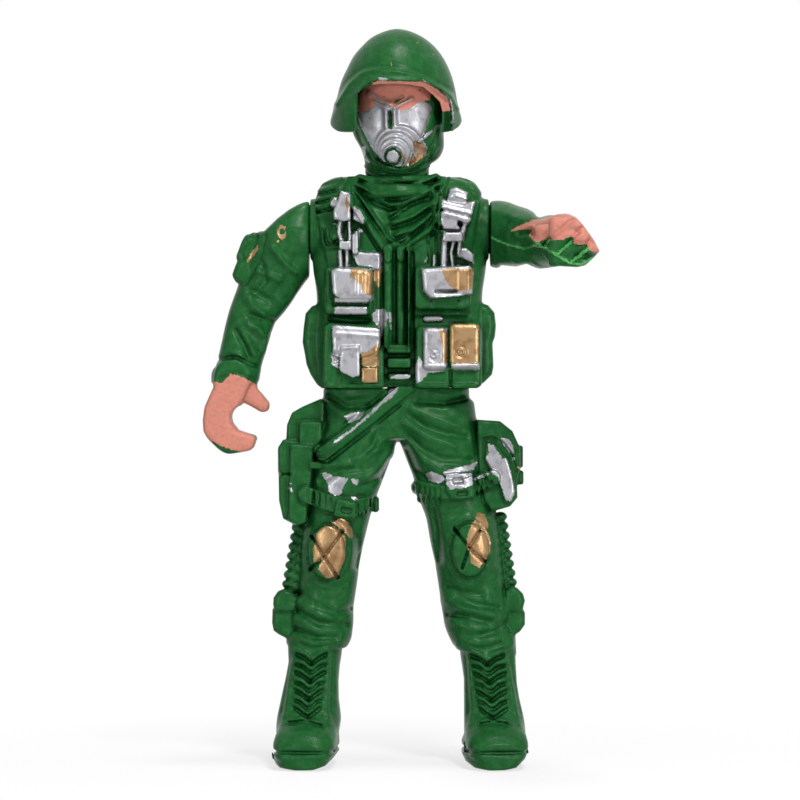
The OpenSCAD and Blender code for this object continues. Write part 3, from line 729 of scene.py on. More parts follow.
def helmet():
    clay = Clay(*HELMET_BOX, FINE_VOXEL)
    clay.add(dome(0), 0)
    clay.lay(area((320, 145, *VISOR_LINE, 475, 145)), 0.3, 0.3, FRONT, 0.1)
    clay.ridge(VISOR_LINE, 0.28, 2.0)
    clay.ridge(shifted(VISOR_LINE, 0, -4), -0.12, 2.2)
    clay.ridge(RIM_FACE[2:-2], 0.3, 3.2)
    clay.press(area(RIM_FACE), 0.5, 0.12, VISOR_FRONT)
    clay.cut(dome(HELMET_WALL, -0.2), 0.15)
    clay.keep(lambda x, y, z: HELMET_Z + rim_height(np.arctan2(np.abs(x - HELMET_X), -y)) - z, 0.3)
    clay.pierce(area(OPENING), SHALLOW, 0.25)
    # Small dents and swells that a hand-cut mould leaves
    where, (x, y, z) = clay.window((-10, -12, 84), (10, 12, 101))
    clay.d[where] += 0.05 * np.sin(1.1 * x + 0.4 * z) * np.cos(0.9 * y + 0.7) * np.sin(0.8 * z + 0.3 * x)
    made, points, normals = clay.mesh("helmet_shell")
    paint(made, points, normals, HELMET_COATS, reach=-1.0, turned_away=0.9)
    finish_piece(made, "head", "helmet")


HELMET_COATS = {
    "flesh": [
        area((372, 81.5, 379, 80.2, 392, 80.3, 422, 81, 428, 83, 437, 88.5, 446, 95.5, 450, 100,
            450.5, 110.5, 441, 111, 436, 100, 428, 91.5, 420, 86.5, 390, 86, 372, 86)),
    ],
    "silver": [
        line((446, 95, 450, 99.5, 451.8, 106, 453, 116, 452.6, 122.5), 1.1), oval(452.3, 121, 1.8, 2.4),
        area((378, 76.5, 386, 77, 389, 79.5, 386, 80.5, 379, 80.5)), line((424, 80, 427, 82), 0.7),
        line((441, 91.5, 445, 93), 0.8),
    ],
    "copper": [
        line((391, 62.5, 391.6, 65.5), 0.6), line((416, 43, 418.5, 41), 0.6),
        line((433, 53, 434, 54), 0.4),
    ],
}


# Head

HEAD_BOX = ((-9, -12.5, 78.6), (9, 8.5, 96.6))
# Height, middle across and back, and half sizes of the head in its hood
HEAD_ROWS = [
    (79.0, 0.1, 0, 4.0, 4.0), (79.9, 0.1, 0, 4.3, 4.3), (80.9, 0.0, 0, 4.3, 4.3),
    (81.8, 0.1, -0.1, 4.4, 4.7), (82.8, 0.5, -0.1, 5.0, 5.5), (83.9, 0.6, 0, 5.5, 6.0),
    (85.3, 0.25, 0, 6.0, 6.2), (87.0, 0.05, 0.1, 6.4, 6.3), (89.5, 0.3, 0.2, 6.1, 6.3),
    (92.0, 0.3, 0.3, 5.7, 5.9), (94.4, 0.3, 0.3, 4.6, 4.9), (95.9, 0.3, 0.3, 3.2, 3.4),
]
# The middle of the canister's mouth on the photograph
MASK_MIDDLE = (392.8, 156)
# How steeply the canister faces down, and its steps: how far out, radius and middle
CANISTER_RISE = math.tan(math.radians(24))
CANISTER = [
    (5.8, 3.3, 398.8, 148.6), (7.0, 2.5, 396, 150.2), (7.75, 2.05, 395, 152.3), (8.5, 1.5, 394, 154.3),
]
# The hood's rim round the face, the brows, the nose bridge and its slit
FACE = [
    (ridge, area((357, 112, 359, 98, 366, 88, 378, 80, 412, 80, 424, 86, 431, 97, 433, 106, 429, 120,
        422, 137, 412, 152, 398, 160, 384, 159, 372, 147, 363, 131)), 0.12, 3.5),
    (ridge, (369, 92, 380, 98.5, 390.5, 104.5), 0.5, 1.9),
    (ridge, (375.5, 100.5, 385.5, 107.5), 0.4, 1.9),
    (ridge, (395, 107, 403, 102.5, 412, 98), 0.5, 1.9),
    (ridge, (394, 101.5, 403, 96.5), 0.3, 1.9),
    (ridge, (372.5, 96.5, 388, 106), -0.3, 1.5),
    (ridge, (395, 104, 406, 98), -0.3, 1.5),
    (ridge, line((390.4, 106, 390.6, 128), 3.0), 0.5, 3.5),
    (ridge, (385, 107, 385.5, 127), 0.3, 1.8),
    (ridge, (394.6, 108, 395.6, 127), 0.3, 1.8),
    (ridge, line((390, 112, 390.4, 128), 0.6), -0.9, 1.6),
]
NECK = (-14.0, -2.2)
# The hood's folds under the chin, as arcs round the mask
CHIN_ARCS = [
    [w for t in np.linspace(0.1, 2.9, 12) for w in (400 + r * math.cos(t), 145 + 0.74 * r * math.sin(t))]
    for r in (32, 37)
]
# Chin of the hood, neck folds, a strap end and seams
HOOD = [
    (ridge, (372, 160, 384, 168, 398, 170, 412, 166, 424, 156), 0.3, 3.2),
    *[(fold, arc, 0.28, 1.7, (0, 2.6), -0.24, 1.5, NECK) for arc in CHIN_ARCS],
    *[(fold, (364, v - 7, 380, v, 398, v + 2, 414, v, 430, v - 7), high, 1.9, (0, 2.5), -high, 1.6)
        for v, high in ((173, 0.25), (178, 0.2))],
    (lay, line((419, 141, 430, 132), 2.0), 0.4),
    (ridge, (437, 128, 434, 142, 425, 156), -0.3, 2.0),
    (ridge, (432, 104, 429, 120, 422, 136), -0.25, 1.6),
    (ridge, (358, 112, 364, 131, 373, 147), -0.25, 1.6),
    (ridge, (357, 128, 362, 142, 372, 156), -0.3, 2.2),
]


def head():
    clay = Clay(*HEAD_BOX, FINE_VOXEL)
    clay.add(moved(tower(HEAD_ROWS, 2.3), HEAD_MATRIX, HEAD_SHIFT), 0)
    # The hood's bulge behind the canister
    clay.add(ball((4.3, -0.6, 84.2), (1.6, 3.2, 2.2)), 0.8)
    clay.work(FACE)
    # The canister's steps, each a thick disc that faces forward and down
    for out, radius, u, v in CANISTER:
        centre = at(u, v, -out)
        back = np.array([centre[0], centre[1] + 3.4, centre[2] + 3.4 * CANISTER_RISE])
        clay.add(disc(back, centre, radius, 0.22), 0.1)
    # Its mouth, and the valve in it
    tip = np.array(at(*MASK_MIDDLE, -9.0))
    direction = np.array([0.06, 1, CANISTER_RISE])
    clay.cut(disc(tip - direction * 0.6, tip + direction * 0.75, 1.16, 0.1), 0.08)
    clay.add(disc(tip + direction * 1.5, tip + direction * 0.02, 0.88, 0.35), 0)
    clay.work(HOOD)
    made, points, normals = clay.mesh("head_in_hood")
    paint(made, points, normals, HEAD_COATS, reach=-1.5, turned_away=0.5)
    finish_piece(made, "head", "head")


HEAD_COATS = {
    "flesh": [
        area((355, 113, 356, 98, 366, 85, 378, 79, 412, 79, 426, 84, 431, 92, 430, 99, 424, 101,
            418, 106, 410, 110, 401, 112, 393, 109, 384, 108, 374, 110, 367, 112)),
    ],
    "silver": [
        line((375, 100, 380, 103, 386, 107), 1.5), line((369.5, 92.5, 378, 98, 390, 104.5), 1.15),
        line((395, 107, 403, 102.5, 411, 98), 1.15),
        area((355, 111, 367, 110, 374, 106.5, 376.5, 102, 384, 106.3, 390, 104.5, 393, 106.5, 401, 109.2,
            410, 107.5, 418, 102, 424, 100.5, 432, 105, 429, 120, 422, 137, 428, 147, 422, 158, 408, 166,
            393, 166, 383, 161, 372, 148, 363, 131)),
        line((417, 142, 424, 137, 431, 131), 1.8),
        area((361, 146, 366, 145, 366, 153, 364, 157, 362, 152)), line((364, 157, 369, 162), 0.9),
    ],
    "bare": [
        line((390.2, 112.5, 390.4, 127), 1.7), ring(392.8, 156.3, 7.6, 1.3),
        line((394.5, 102, 403.5, 97), 0.9), oval(384, 96, 0.6, 0.5), oval(420, 89, 0.8, 0.5),
        oval(369, 118, 0.6, 0.5), line((405, 158, 402, 166), 0.5), line((412, 150, 414, 158), 0.4),
    ],
    "copper": [
        area((413, 139, 421, 141, 427, 147, 426, 155, 417, 162, 408, 166, 406, 161, 413, 153)),
        area((401, 150, 405, 153, 404, 160, 400, 163)),
    ],
}


# Upper body

VEST_BOX = ((-14.2, -11.2, 51.2), (14.2, 9.2, 81.2))
# The collar's rolls: radius, height, thickness and how far each leans
COLLAR = [(5.3, 79.3, 0.5, 0.12), (5.6, 78.3, 0.6, -0.3), (5.8, 77.3, 0.6, 0.5)]
TRUNK_HALF_W = 11.85
TRUNK_HEIGHT = 28.0
# Height share, half width share, and the reach forward and back in millimetres
TRUNK_ROWS = [
    (0, 0.87, 5.4, 5.4), (0.035, 0.94, 5.8, 5.8), (0.2, 0.965, 6.1, 5.9), (0.35, 0.94, 6.1, 5.8),
    (0.46, 0.95, 6.0, 5.7), (0.55, 0.985, 6.2, 5.9), (0.615, 1, 6.2, 6.2), (0.75, 1, 6.0, 6.3),
    (0.875, 0.985, 5.4, 6.0), (0.915, 0.95, 5.0, 5.8), (0.955, 0.9, 4.6, 5.3), (0.985, 0.865, 4.2, 4.8),
    (1.0, 0.8, 3.9, 4.4), (1.013, 0.66, 3.6, 4.0),
]

# The pouches at the vest's sides, on the photograph
RIGHT_SIDE_POUCH = (
    324, 302, 312, 305.5, 305.5, 313, 303.5, 328, 302.5, 342, 304.5, 352, 306.5, 364, 310.5, 374,
    317, 384, 325, 390, 338, 390, 338, 302,
)
LEFT_SIDE_POUCH = (
    476, 301, 488, 304.5, 494.5, 312, 496, 325, 495, 336, 492.5, 343, 493, 353, 493.5, 366, 492, 374,
    484, 382, 472, 387, 462, 388, 462, 301,
)

# The scarf's folds in the neck of the vest
SCARF_FOLDS = [
    (360, 176, 380, 184, 398, 186, 418, 183, 436, 175), (438, 183, 420, 194, 404, 200, 390, 205),
    (357, 184, 372, 193, 386, 200), (432, 192, 410, 200, 390, 213), (431, 204, 412, 216, 393, 222),
    (428, 216, 412, 228, 396, 234), (366, 190, 374, 198, 386, 203, 400, 203),
    (364, 186, 380, 194, 400, 196, 420, 190),
]
# The vest's edge, and the doubled edge outside it
LEFT_EDGE = (356, 190, 373, 215, 391, 240)
RIGHT_EDGE = (434, 190, 432, 208, 427, 220, 400, 240)
OUTER_LEFT_EDGE = (353, 204, 364, 218, 383, 248)
OUTER_RIGHT_EDGE = (438, 192, 436, 211, 430, 229, 402, 248)
SHIRT = [
    (press, area((360, 180, 436, 180, 432, 205, 427, 222, 399, 241, 391, 240, 374, 216, 357, 192)),
        0.35, 0.5),
    (ridge, (366, 171, 382, 176, 398, 178, 414, 176, 430, 171), -0.5, 2.4),
    *[(fold, points, 0.7, 2.8, (0, 5), -0.55, 2.3) for points in SCARF_FOLDS],
    (ridge, oval(391, 230, 4, 5), -0.6, 2.5),
    (ridge, LEFT_EDGE, 0.55, 2.0),
    (ridge, RIGHT_EDGE, 0.55, 2.0),
    (fold, OUTER_LEFT_EDGE, 0.35, 2.4, (-3.5, 3), -0.45, 1.8),
    (fold, OUTER_RIGHT_EDGE, 0.35, 2.4, (3.5, 3), -0.45, 1.8),
    (ridge, (361, 204, 377, 229, 388, 244), -0.25, 1.6),
    (ridge, (434, 214, 429, 225, 401, 244), -0.25, 1.6),
]
# The padded shoulder straps and their hardware
STRAPS = [
    (lay, area((321, 178, 348, 176, 352, 190, 352, 206, 346, 268, 328, 268, 320, 230, 315, 200)),
        0.4, 0.3, SHALLOW),
    (lay, area((440, 176, 472, 178, 482, 192, 478, 212, 470, 268, 438, 268, 436, 214)),
        0.4, 0.3, SHALLOW),
    *[row for v in (183.5, 192, 200, 209) for row in ((ridge, (318, v + 3, 336, v - 2), -0.4, 1.5,
        SHALLOW), (ridge, (318, v + 6.5, 335, v + 1.5), 0.25, 1.8, SHALLOW))],
    (ridge, (345, 176, 341, 196), -0.35, 1.6, SHALLOW),
    (ridge, (447, 178, 440, 196), -0.35, 1.6, SHALLOW),
    (ridge, (467, 182, 476, 200), -0.35, 1.6, SHALLOW),
    (ridge, (452, 176, 470, 181), -0.35, 1.6, SHALLOW),
    # Right of the wearer
    (build, area((341, 190, 350, 192, 351, 219, 344, 221, 334, 219, 333, 211, 337, 201)), -8.0, 0.35),
    (build, rect(330, 196, 337, 206, 2.5, 0.3), -7.6, 0.3),
    (build, area((353, 206, 361, 211, 365, 219, 361, 223, 353, 219)), -7.5, 0.3),
    (lay, oval(334, 231, 6, 9), 0.8, 0.35),
    (ridge, (322, 226, 323, 242, 326, 247, 341, 246), 0.5, 1.8),
    (ridge, (327, 228, 328, 239, 332, 243), 0.5, 1.8),
    (build, line((340, 221, 339, 232, 343, 246), 1.9), -7.2, 0.25),
    (build, line((349, 220, 350, 248), 1.3), -7.2, 0.25),
    (build, line((340, 251, 341, 268), 1.9), -7.2, 0.25),
    (build, line((347, 248, 347, 268), 1.7), -7.2, 0.25),
    (build, line((354, 232, 355, 250), 2.2), -7.2, 0.25),
    (build, rect(339, 240, 351, 249, 1.5), -7.5, 0.25),
    (lay, area((359, 226, 364, 230, 359, 233, 358, 250, 362, 252, 382, 252, 381.5, 269, 358, 267,
        352, 254, 352, 234)), 0.25, 0.1),
    # Left of the wearer
    (build, area((450, 188, 457, 187, 468, 192, 467, 202, 463, 205, 447, 200)), -7.4, 0.3),
    (build, area((442, 198, 448, 201, 463, 204, 475.5, 200, 471, 221, 466, 223, 457, 219, 441, 215)),
        -8.2, 0.3),
    (build, area((441, 215, 458, 219, 461, 232, 444, 229, 441, 222)), -7.9, 0.25),
    (build, rect(442.5, 231.5, 462.5, 241, 1.5), -8.1, 0.25),
    (ridge, (442, 209, 458, 213, 471, 216), -0.3, 1.3),
    (ridge, (442, 206, 458, 210, 472, 213), 0.25, 1.4),
    (ridge, (448, 197, 456, 195, 466, 198), 0.25, 1.5),
    (ridge, (444, 230, 461, 230), -0.3, 1.2),
    (build, area((463, 221, 468, 221, 463, 240, 458, 240)), -7.6, 0.2),
    (press, rect(457.5, 220.5, 462.5, 226, 1), 0.9, 0.1),
    (build, line((444.5, 240, 443.5, 268), 2.8), -7.4, 0.25),
    (build, line((454, 240, 451, 252, 453, 268), 1.5), -7.4, 0.25),
    (build, line((460, 241, 458, 256), 1.9), -7.4, 0.25),
    (build, line((434.3, 255, 434, 265), 1.4), -7.4, 0.25),
    (build, area((458, 248, 466, 247, 474, 254, 473, 263, 466, 260, 458, 255)), -7.1, 0.25),
    (ridge, (434.5, 210, 434.5, 229, 444, 231), 0.5, 1.7),
    (ridge, (438.5, 214, 439, 226), 0.5, 1.7),
    (ridge, (433.5, 236, 434, 266), 0.3, 1.3),
    (ridge, (427.5, 237, 430, 262), -0.3, 1.4),
]
# The pouches of the vest, each a body and a flap, and the depths of their faces
POUCH_Y = -8.3
FLAP_Y = -9.0
POUCHES = [
    # Upper right of the wearer
    (build, rect(325, 266, 373, 315, 6), POUCH_Y + 0.5, 0.7),
    (build, area((331, 270, 336, 267, 368, 268.5, 373, 273, 372, 299, 336, 299.5, 332, 293)),
        FLAP_Y + 0.1, 0.7),
    (build, rect(334, 297, 369, 302.5, 2), FLAP_Y + 0.5, 0.25),
    (build, rect(332, 305, 369, 314, 2.5), POUCH_Y + 0.1, 0.3),
    (ridge, (328, 270, 328, 296, 331, 303), 0.3, 1.6),
    (ridge, (332, 303.8, 368, 304), -0.4, 1.2),
    *[(ridge, (u, v, u - 0.5, 294), 0.16, 1.1)
        for u, v in ((358, 272), (361.5, 275), (365.5, 273), (369, 276))],
    (press, area((329, 315, 350, 317, 371, 318, 371, 321.5, 349, 323, 328, 320)), 0.8, 0.4),
    # Upper left of the wearer
    (build, rect(412.5, 266, 471, 309, 7), POUCH_Y + 0.4, 0.7),
    (build, area((421, 268, 470, 265, 474, 270, 472, 294, 436, 298, 430, 298, 423, 290)), FLAP_Y, 0.7),
    (press, rect(435, 289, 457.5, 292.8, 1), 0.7, 0.08),
    (ridge, (434, 296.5, 461, 295.5), 0.25, 1.5),
    (ridge, (431, 301, 431, 307), 0.25, 1.6),
    (ridge, (459, 301, 459, 307), 0.25, 1.6),
    *[(ridge, (u, 270, u, 290), 0.2, 1.3) for u in (460, 464, 468)],
    (press, rect(414, 310.5, 470, 316, 2.5), 0.35, 0.4),
    (lay, line((425.5, 318.2, 440.5, 318), 2.6), 0.35),
    # Lower right of the wearer
    (build, area((324, 326, 330, 322, 384, 325, 384, 384, 378, 389, 330, 389, 323, 380)), POUCH_Y, 0.5),
    (build, area((331, 327, 335, 324, 384, 327, 381, 345, 378, 353, 360, 355, 338, 355, 332, 352)),
        FLAP_Y - 0.1, 0.7),
    (ridge, (335, 333, 382, 336), 0.22, 1.8),
    (build, area((341, 346, 359.5, 345.5, 360, 376, 353, 377.5, 340, 371.5)), FLAP_Y - 0.35, 0.25),
    (ridge, (342, 347.5, 358, 347), 0.25, 1.6),
    (build, rect(361.5, 366.5, 378, 382, 1.2), FLAP_Y + 0.1, 0.2),
    (build, rect(361.5, 352, 378, 366, 2), FLAP_Y + 0.35, 0.25),
    *[(ridge, (362, v + 2, 370, v, 377, v - 4), 0.25, 1.3) for v in (354, 358, 362)],
    *[(ridge, (332, v - 1, 339, v + 1.5), 0.3, 1.1) for v in (355, 358.5, 362, 365.5)],
    (ridge, (326, 384.5, 382, 384.5), 0.2, 1.7),
    (ridge, (341, 377, 341, 386), -0.2, 1.1),
    # Lower left of the wearer: two flaps with snaps
    (build, rect(415, 325, 482, 388, 8), POUCH_Y + 0.2, 0.8),
    (build, rect(423, 327, 447, 370, 5), FLAP_Y + 0.05, 0.7),
    (build, rect(449, 323, 480.5, 369, 6), FLAP_Y - 0.1, 0.8),
    (ridge, (424, 365.5, 446, 365.5), 0.22, 1.4),
    (ridge, (452, 365.5, 478, 364.5), 0.22, 1.4),
    (ridge, (450.5, 370, 450.5, 388), -0.5, 1.5),
    (ridge, oval(434, 354, 4.6, 4.6), -0.3, 1.5),
    (lay, oval(434, 354, 3.9, 3.9), 0.45, 0.2),
    (ridge, oval(434, 354, 0.6, 0.6), -0.35, 1.3),
    (ridge, oval(461, 351, 4.6, 4.6), -0.3, 1.5),
    (lay, oval(461, 351, 3.9, 3.9), 0.45, 0.2),
    (ridge, oval(461, 351, 0.6, 0.6), -0.35, 1.3),
    (ridge, (417, 384.5, 480, 384), 0.2, 1.7),
    # Hem below the pouches
    (ridge, line((326, 386.5, 474, 386.5), 1.0), 0.2, 1.6),
]
# The ribs down the middle, the bars of the buckle and the panels beside them
CLOSURE = [
    (lay, line((351, 198, 366, 221, 389, 252), 4.6), 0.4, 0.25),
    (lay, line((438, 196, 434, 218, 425, 234, 404, 252), 4.6), 0.4, 0.25),
    *[(lay, line((u, 248, u, 344), half), 0.55, 0.2)
        for u, half in ((388, 4.6), (401, 4.4), (408.5, 2.4))],
    *[(ridge, (u, 250, u, 343), 0.22, 2.2) for u in (388, 400.6)],
    *[(ridge, (u, 252, u, 343), -deep, 1.5)
        for u, deep in ((394.4, 0.6), (406, 0.55), (382, 0.6), (412.6, 0.6))],
    (build, rect(387, 344.5, 411, 352.5, 1.5), -7.7, 0.25),
    (build, rect(387, 357.5, 411, 367, 1.5), -7.8, 0.25),
    (build, rect(388, 373, 411, 379, 1.5), -7.3, 0.25),
    (press, rect(388, 353, 410, 357.5, 1), 0.8, 0.1),
    (press, rect(388, 367.5, 410, 372.5, 1), 0.8, 0.1),
    (ridge, (389, 348.5, 409, 348.5), -0.15, 1.2),
    (ridge, (392, 362, 406, 362), 0.15, 1.6),
]


def trunk_form():
    rows = [
        (HEM_Z + TRUNK_HEIGHT * s, 0, (back - front) / 2, TRUNK_HALF_W * half, (front + back) / 2)
        for s, half, front, back in TRUNK_ROWS
    ]
    return tower(rows, 3.4, 0.25)


def hub(side, inner, outer, radius, corner):
    """A disc round an arm's pivot, between two distances from the middle."""
    return disc((side * inner, 0, ARM_Z), (side * outer, 0, ARM_Z), radius, corner)


def vest():
    clay = Clay(*VEST_BOX)
    clay.add(trunk_form(), 0)
    for side, points in ((-1, RIGHT_SIDE_POUCH), (1, LEFT_SIDE_POUCH)):
        clay.build(area(points), -3.4, 1.1, 4.4, 0.4)
        clay.add(block((side * 11.6, 0.4, 59.4), (0.95, 3.2, 2.3), 0.9), 0.3)
        clay.add(hub(side, TRIM_FROM_X, ARM_X - 0.17, TRIM_RADIUS, 0.3), 0.35)
        clay.cut(hub(side, ARM_X - 0.45, ARM_X + 0.5, SEAT_RADIUS, 0.05), 0.05)
    for steps in (SHIRT, STRAPS, POUCHES, CLOSURE):
        clay.work(steps)
    back_of_vest(clay)
    for radius, low, thick, lean in COLLAR:
        turn = np.linspace(0, 2 * math.pi, 33)
        height = low + 0.15 * np.sin(turn) ** 2 + lean * np.sin(turn + 0.5)
        roll = np.transpose([NECK_X + radius * np.sin(turn), -radius * np.cos(turn), height])
        clay.add(rod(roll, thick), 0.22)
    # Room for the neck
    clay.cut(disc((NECK_X, 0, NECK_Z - 0.8), (NECK_X, 0, NECK_Z + 4), 5.0, 0.1), 0.1)
    whole = clay.d.copy()
    for name, node, side in (("vest_front", "torso_front", 1), ("vest_back", "torso_back", -1)):
        clay.d = whole.copy()
        clay.keep(lambda x, y, z: side * y + 0.02 + 0 * x * z, 0.05)
        made, points, normals = clay.mesh(name)
        paint(made, points, normals, VEST_COATS, reach=-3.0, turned_away=-0.12)
        finish_piece(made, "upper_body", node)


# Forms on the vest's back: middle, half sizes, corner, blend and lean
STRAPS_BEHIND = [
    ((6.3, 5.65, 70.8), (1.9, 1.05, 8.3), 0.4, 0.15, -0.1),
    *[((6.2, 6.5, z), (2.1, 0.5, 0.35), 0.2, 0.1, 0) for z in (66, 69.5, 73)],
]
PACK_BEHIND = [
    ((0, 6.0, 72.5), (5.6, 0.6, 1.1), 0.35, 0.12, 0), ((0, 5.8, 60), (6.4, 1.5, 5.0), 0.9, 0.25, 0),
    ((0, 6.7, 62.3), (6.6, 0.95, 2.9), 0.6, 0.12, 0), ((0, 7.3, 59.7), (0.9, 0.55, 1.6), 0.3, 0.1, 0),
]
POUCHES_BEHIND = [
    ((9.3, 5.3, 58.4), (1.9, 1.0, 4.3), 0.6, 0.2, 0), ((9.3, 5.9, 60.6), (2.0, 0.7, 1.9), 0.4, 0.1, 0),
]


def back_of_vest(clay):
    """Two straps, a yoke, a low pack and two pouches, as such vests have behind."""
    for sides, rows in (((-1, 1), STRAPS_BEHIND), ((1,), PACK_BEHIND), ((-1, 1), POUCHES_BEHIND)):
        for side in sides:
            for (x, y, z), half, corner, k, lean in rows:
                clay.add(block((side * x, y, z), half, corner, side * lean), k)


VEST_COATS = {
    "silver": [
        area((331, 268, 350, 266.5, 372, 268, 374, 299, 366, 303, 344, 301, 333, 293)),
        rect(334.5, 297.5, 367, 302.5, 1), rect(334.5, 305.8, 367, 314, 1.5),
        area((341, 190, 350, 192, 351, 219, 344, 221.5, 334, 219, 333, 211, 337, 201)),
        area((330, 203, 336, 195, 338, 205, 332, 207)),
        area((353, 205, 361, 211, 365, 219, 363, 224, 353, 219)),
        line((340, 221, 339, 232, 343, 246), 2.3), line((349, 220, 350, 248), 1.7),
        line((340, 251, 341, 268), 2.3), line((347, 248, 347, 268), 2.0), rect(339.5, 241, 351, 249, 1),
        area((359, 226, 364, 230, 359.5, 233, 358, 250, 362, 252, 382, 252, 382, 270, 374, 270, 371, 266,
            358, 265, 353, 257, 351, 247, 351, 234, 355, 233)),
        area((332, 326, 335, 324, 384, 328, 382, 338, 379, 350, 360, 354, 360, 375, 353, 377, 340, 371,
            339, 355, 333, 353)),
        area((331, 352, 338.5, 354, 339, 368, 332, 365)),
        area((371.5, 314, 376, 309, 384, 308, 388, 314, 386, 326, 381, 331, 373, 320)),
        area((388.5, 310, 391.7, 313, 392.2, 336, 389.6, 325)),
        area((421, 268, 470, 264, 474, 270, 472, 294, 436, 298, 430, 298, 423, 291)),
        line((426, 318.2, 440, 318), 2.8), rect(423, 327, 447.5, 368, 3),
        rect(451, 362.5, 480, 369.5, 2),
        area((419, 355, 424, 363, 447, 366, 446, 370.5, 428, 373, 421, 381, 416, 384, 415, 366)),
        area((388, 377.5, 398, 373.5, 411, 374, 411, 377, 404, 379)),
        area((450, 188, 457, 186.5, 468, 192, 467, 202, 475.5, 200, 471, 221, 467, 224, 464, 241,
            462.5, 241, 442, 241, 444, 231, 441, 222, 442, 198, 447, 199)),
        line((444.5, 240, 443.5, 268), 3.2), line((454, 240, 451, 252, 453, 268), 1.9),
        line((460, 241, 459, 252), 2.2), line((434.3, 255.5, 434, 264), 1.6),
        area((457, 247, 466, 247, 474, 254, 474, 263, 466, 260, 458, 256)),
        line((425, 261, 427, 258), 1.2),
    ],
    "gold": [
        area((351, 268, 372, 270, 374, 296, 364, 293, 360, 283, 350, 277)),
        area((374, 269, 382, 269, 379, 290, 376, 284, 373, 277)),
        area((361, 352, 370, 350, 379, 341, 379, 366, 361, 366)), rect(361.5, 367, 378, 382, 1),
        area((441, 268, 474, 268, 472, 289, 456, 291, 446, 281)),
        area((438, 328, 447.5, 331, 447.5, 362, 442, 361, 443, 345)), rect(450, 323, 479, 363, 3.5),
        line((346, 198, 348, 210), 1.6),
    ],
}


# Arms, modelled hanging from their pivot with the flat face on the plane x = 0

ARM_BOX = {
    "right": ((-27.5, -5.4, 41.2), (-11.8, 5.6, 77.6)),
    "left": ((11.8, -31, 65.2), (27.5, 5.2, 78.6)),
}
# How far back and how far round each arm's paint goes
ARM_PAINT = {"right": (6.0, 0.75), "left": (2.0, 0.5)}
# Depth below the pivot, inner edge, outer edge, half depth and setback
SLEEVE_ROWS = [
    (-3.9, -0.4, 1.4, 1.8, 0.6), (-3.4, -0.6, 2.1, 3.0, 0.6), (-2.2, -1.2, 4.3, 4.0, 0.6),
    (-1.1, -1.5, 5.6, 4.5, 0.6), (0, -1.8, 6.6, 4.85, 0.5), (2.2, -2, 7.6, 4.85, 0.6),
    (4.2, -1.6, 8.3, 4.5, 0.7), (5.6, -0.8, 8.5, 4.2, 0.75), (7, 0.5, 9.1, 4.05, 0.85),
    (8.7, 1.7, 9.9, 3.9, 0.95), (9.8, 2.2, 10.4, 3.8, 1.0), (10.9, 3.1, 10.9, 3.7, 1.0),
    (12, 4.1, 11.2, 3.65, 0.9), (13.2, 4.8, 11.5, 3.6, 0.8), (15.2, 5.4, 11.9, 3.45, 0.6),
    (17.2, 6.0, 12.3, 3.35, 0.35), (18.6, 6.5, 12.5, 3.2, 0.2), (20.9, 7.3, 12.5, 3.0, 0.1),
]
CUFF_ROWS = [
    (18.5, 6.4, 12.5, 3.1, 0.2), (19.0, 6.3, 13.0, 3.5, 0.2), (19.7, 6.45, 13.3, 3.6, 0.15),
    (20.5, 6.8, 13.35, 3.55, 0.1), (21.1, 7.2, 13.2, 3.3, 0.1),
]
GRIP = (8.95, -25.5)
# How far back the flesh paint of the left hand reaches, across the arm
LEFT_FLESH = ((15.0, 17.0, 20.0), (-8.0, -11.0, -18.0))


def limb_form(rows, e, k):
    stack = [(-down, (a + b) / 2, back, (b - a) / 2 + 0.3, half) for down, a, b, half, back in rows]
    return tower(stack, e, k)


def arm_forms():
    """The pieces of an arm that hangs, each with the blend that joins it."""
    gx, gz = GRIP
    yield limb_form(SLEEVE_ROWS, 2.35, 0.3), 0
    yield limb_form(CUFF_ROWS, 2.4, 0.35), 0.12
    # Palm and fingers, then the thumb
    palm = [(gx + 1.3, gz + 5.6), (gx + 2.0, gz + 3.2), (gx + 3.55, gz + 0.9), (gx + 3.5, gz - 1.5),
            (gx + 1.8, gz - 3.3), (gx - 1.0, gz - 3.5)]
    yield slab(palm, [2.6, 2.35, 2.1, 2.1, 1.85, 1.15], 0, 3.35, 1.0), 0.25
    thumb = [(gx + 0.8, gz + 4.6), (gx - 1.2, gz + 3.1), (gx - 2.7, gz + 1.75)]
    yield slab(thumb, [2.0, 1.55, 1.1], -0.5, 1.5, 1.0), 0.35
    # The pouch on the upper arm, leaned with the arm
    yield block((7.9, 0.7, -4.1), (1.6, 2.6, 3.7), 1.0, 0.42), 0.2
    yield block((8.2, 0.7, -2.8), (1.5, 2.75, 2.0), 0.9, 0.42), 0.1


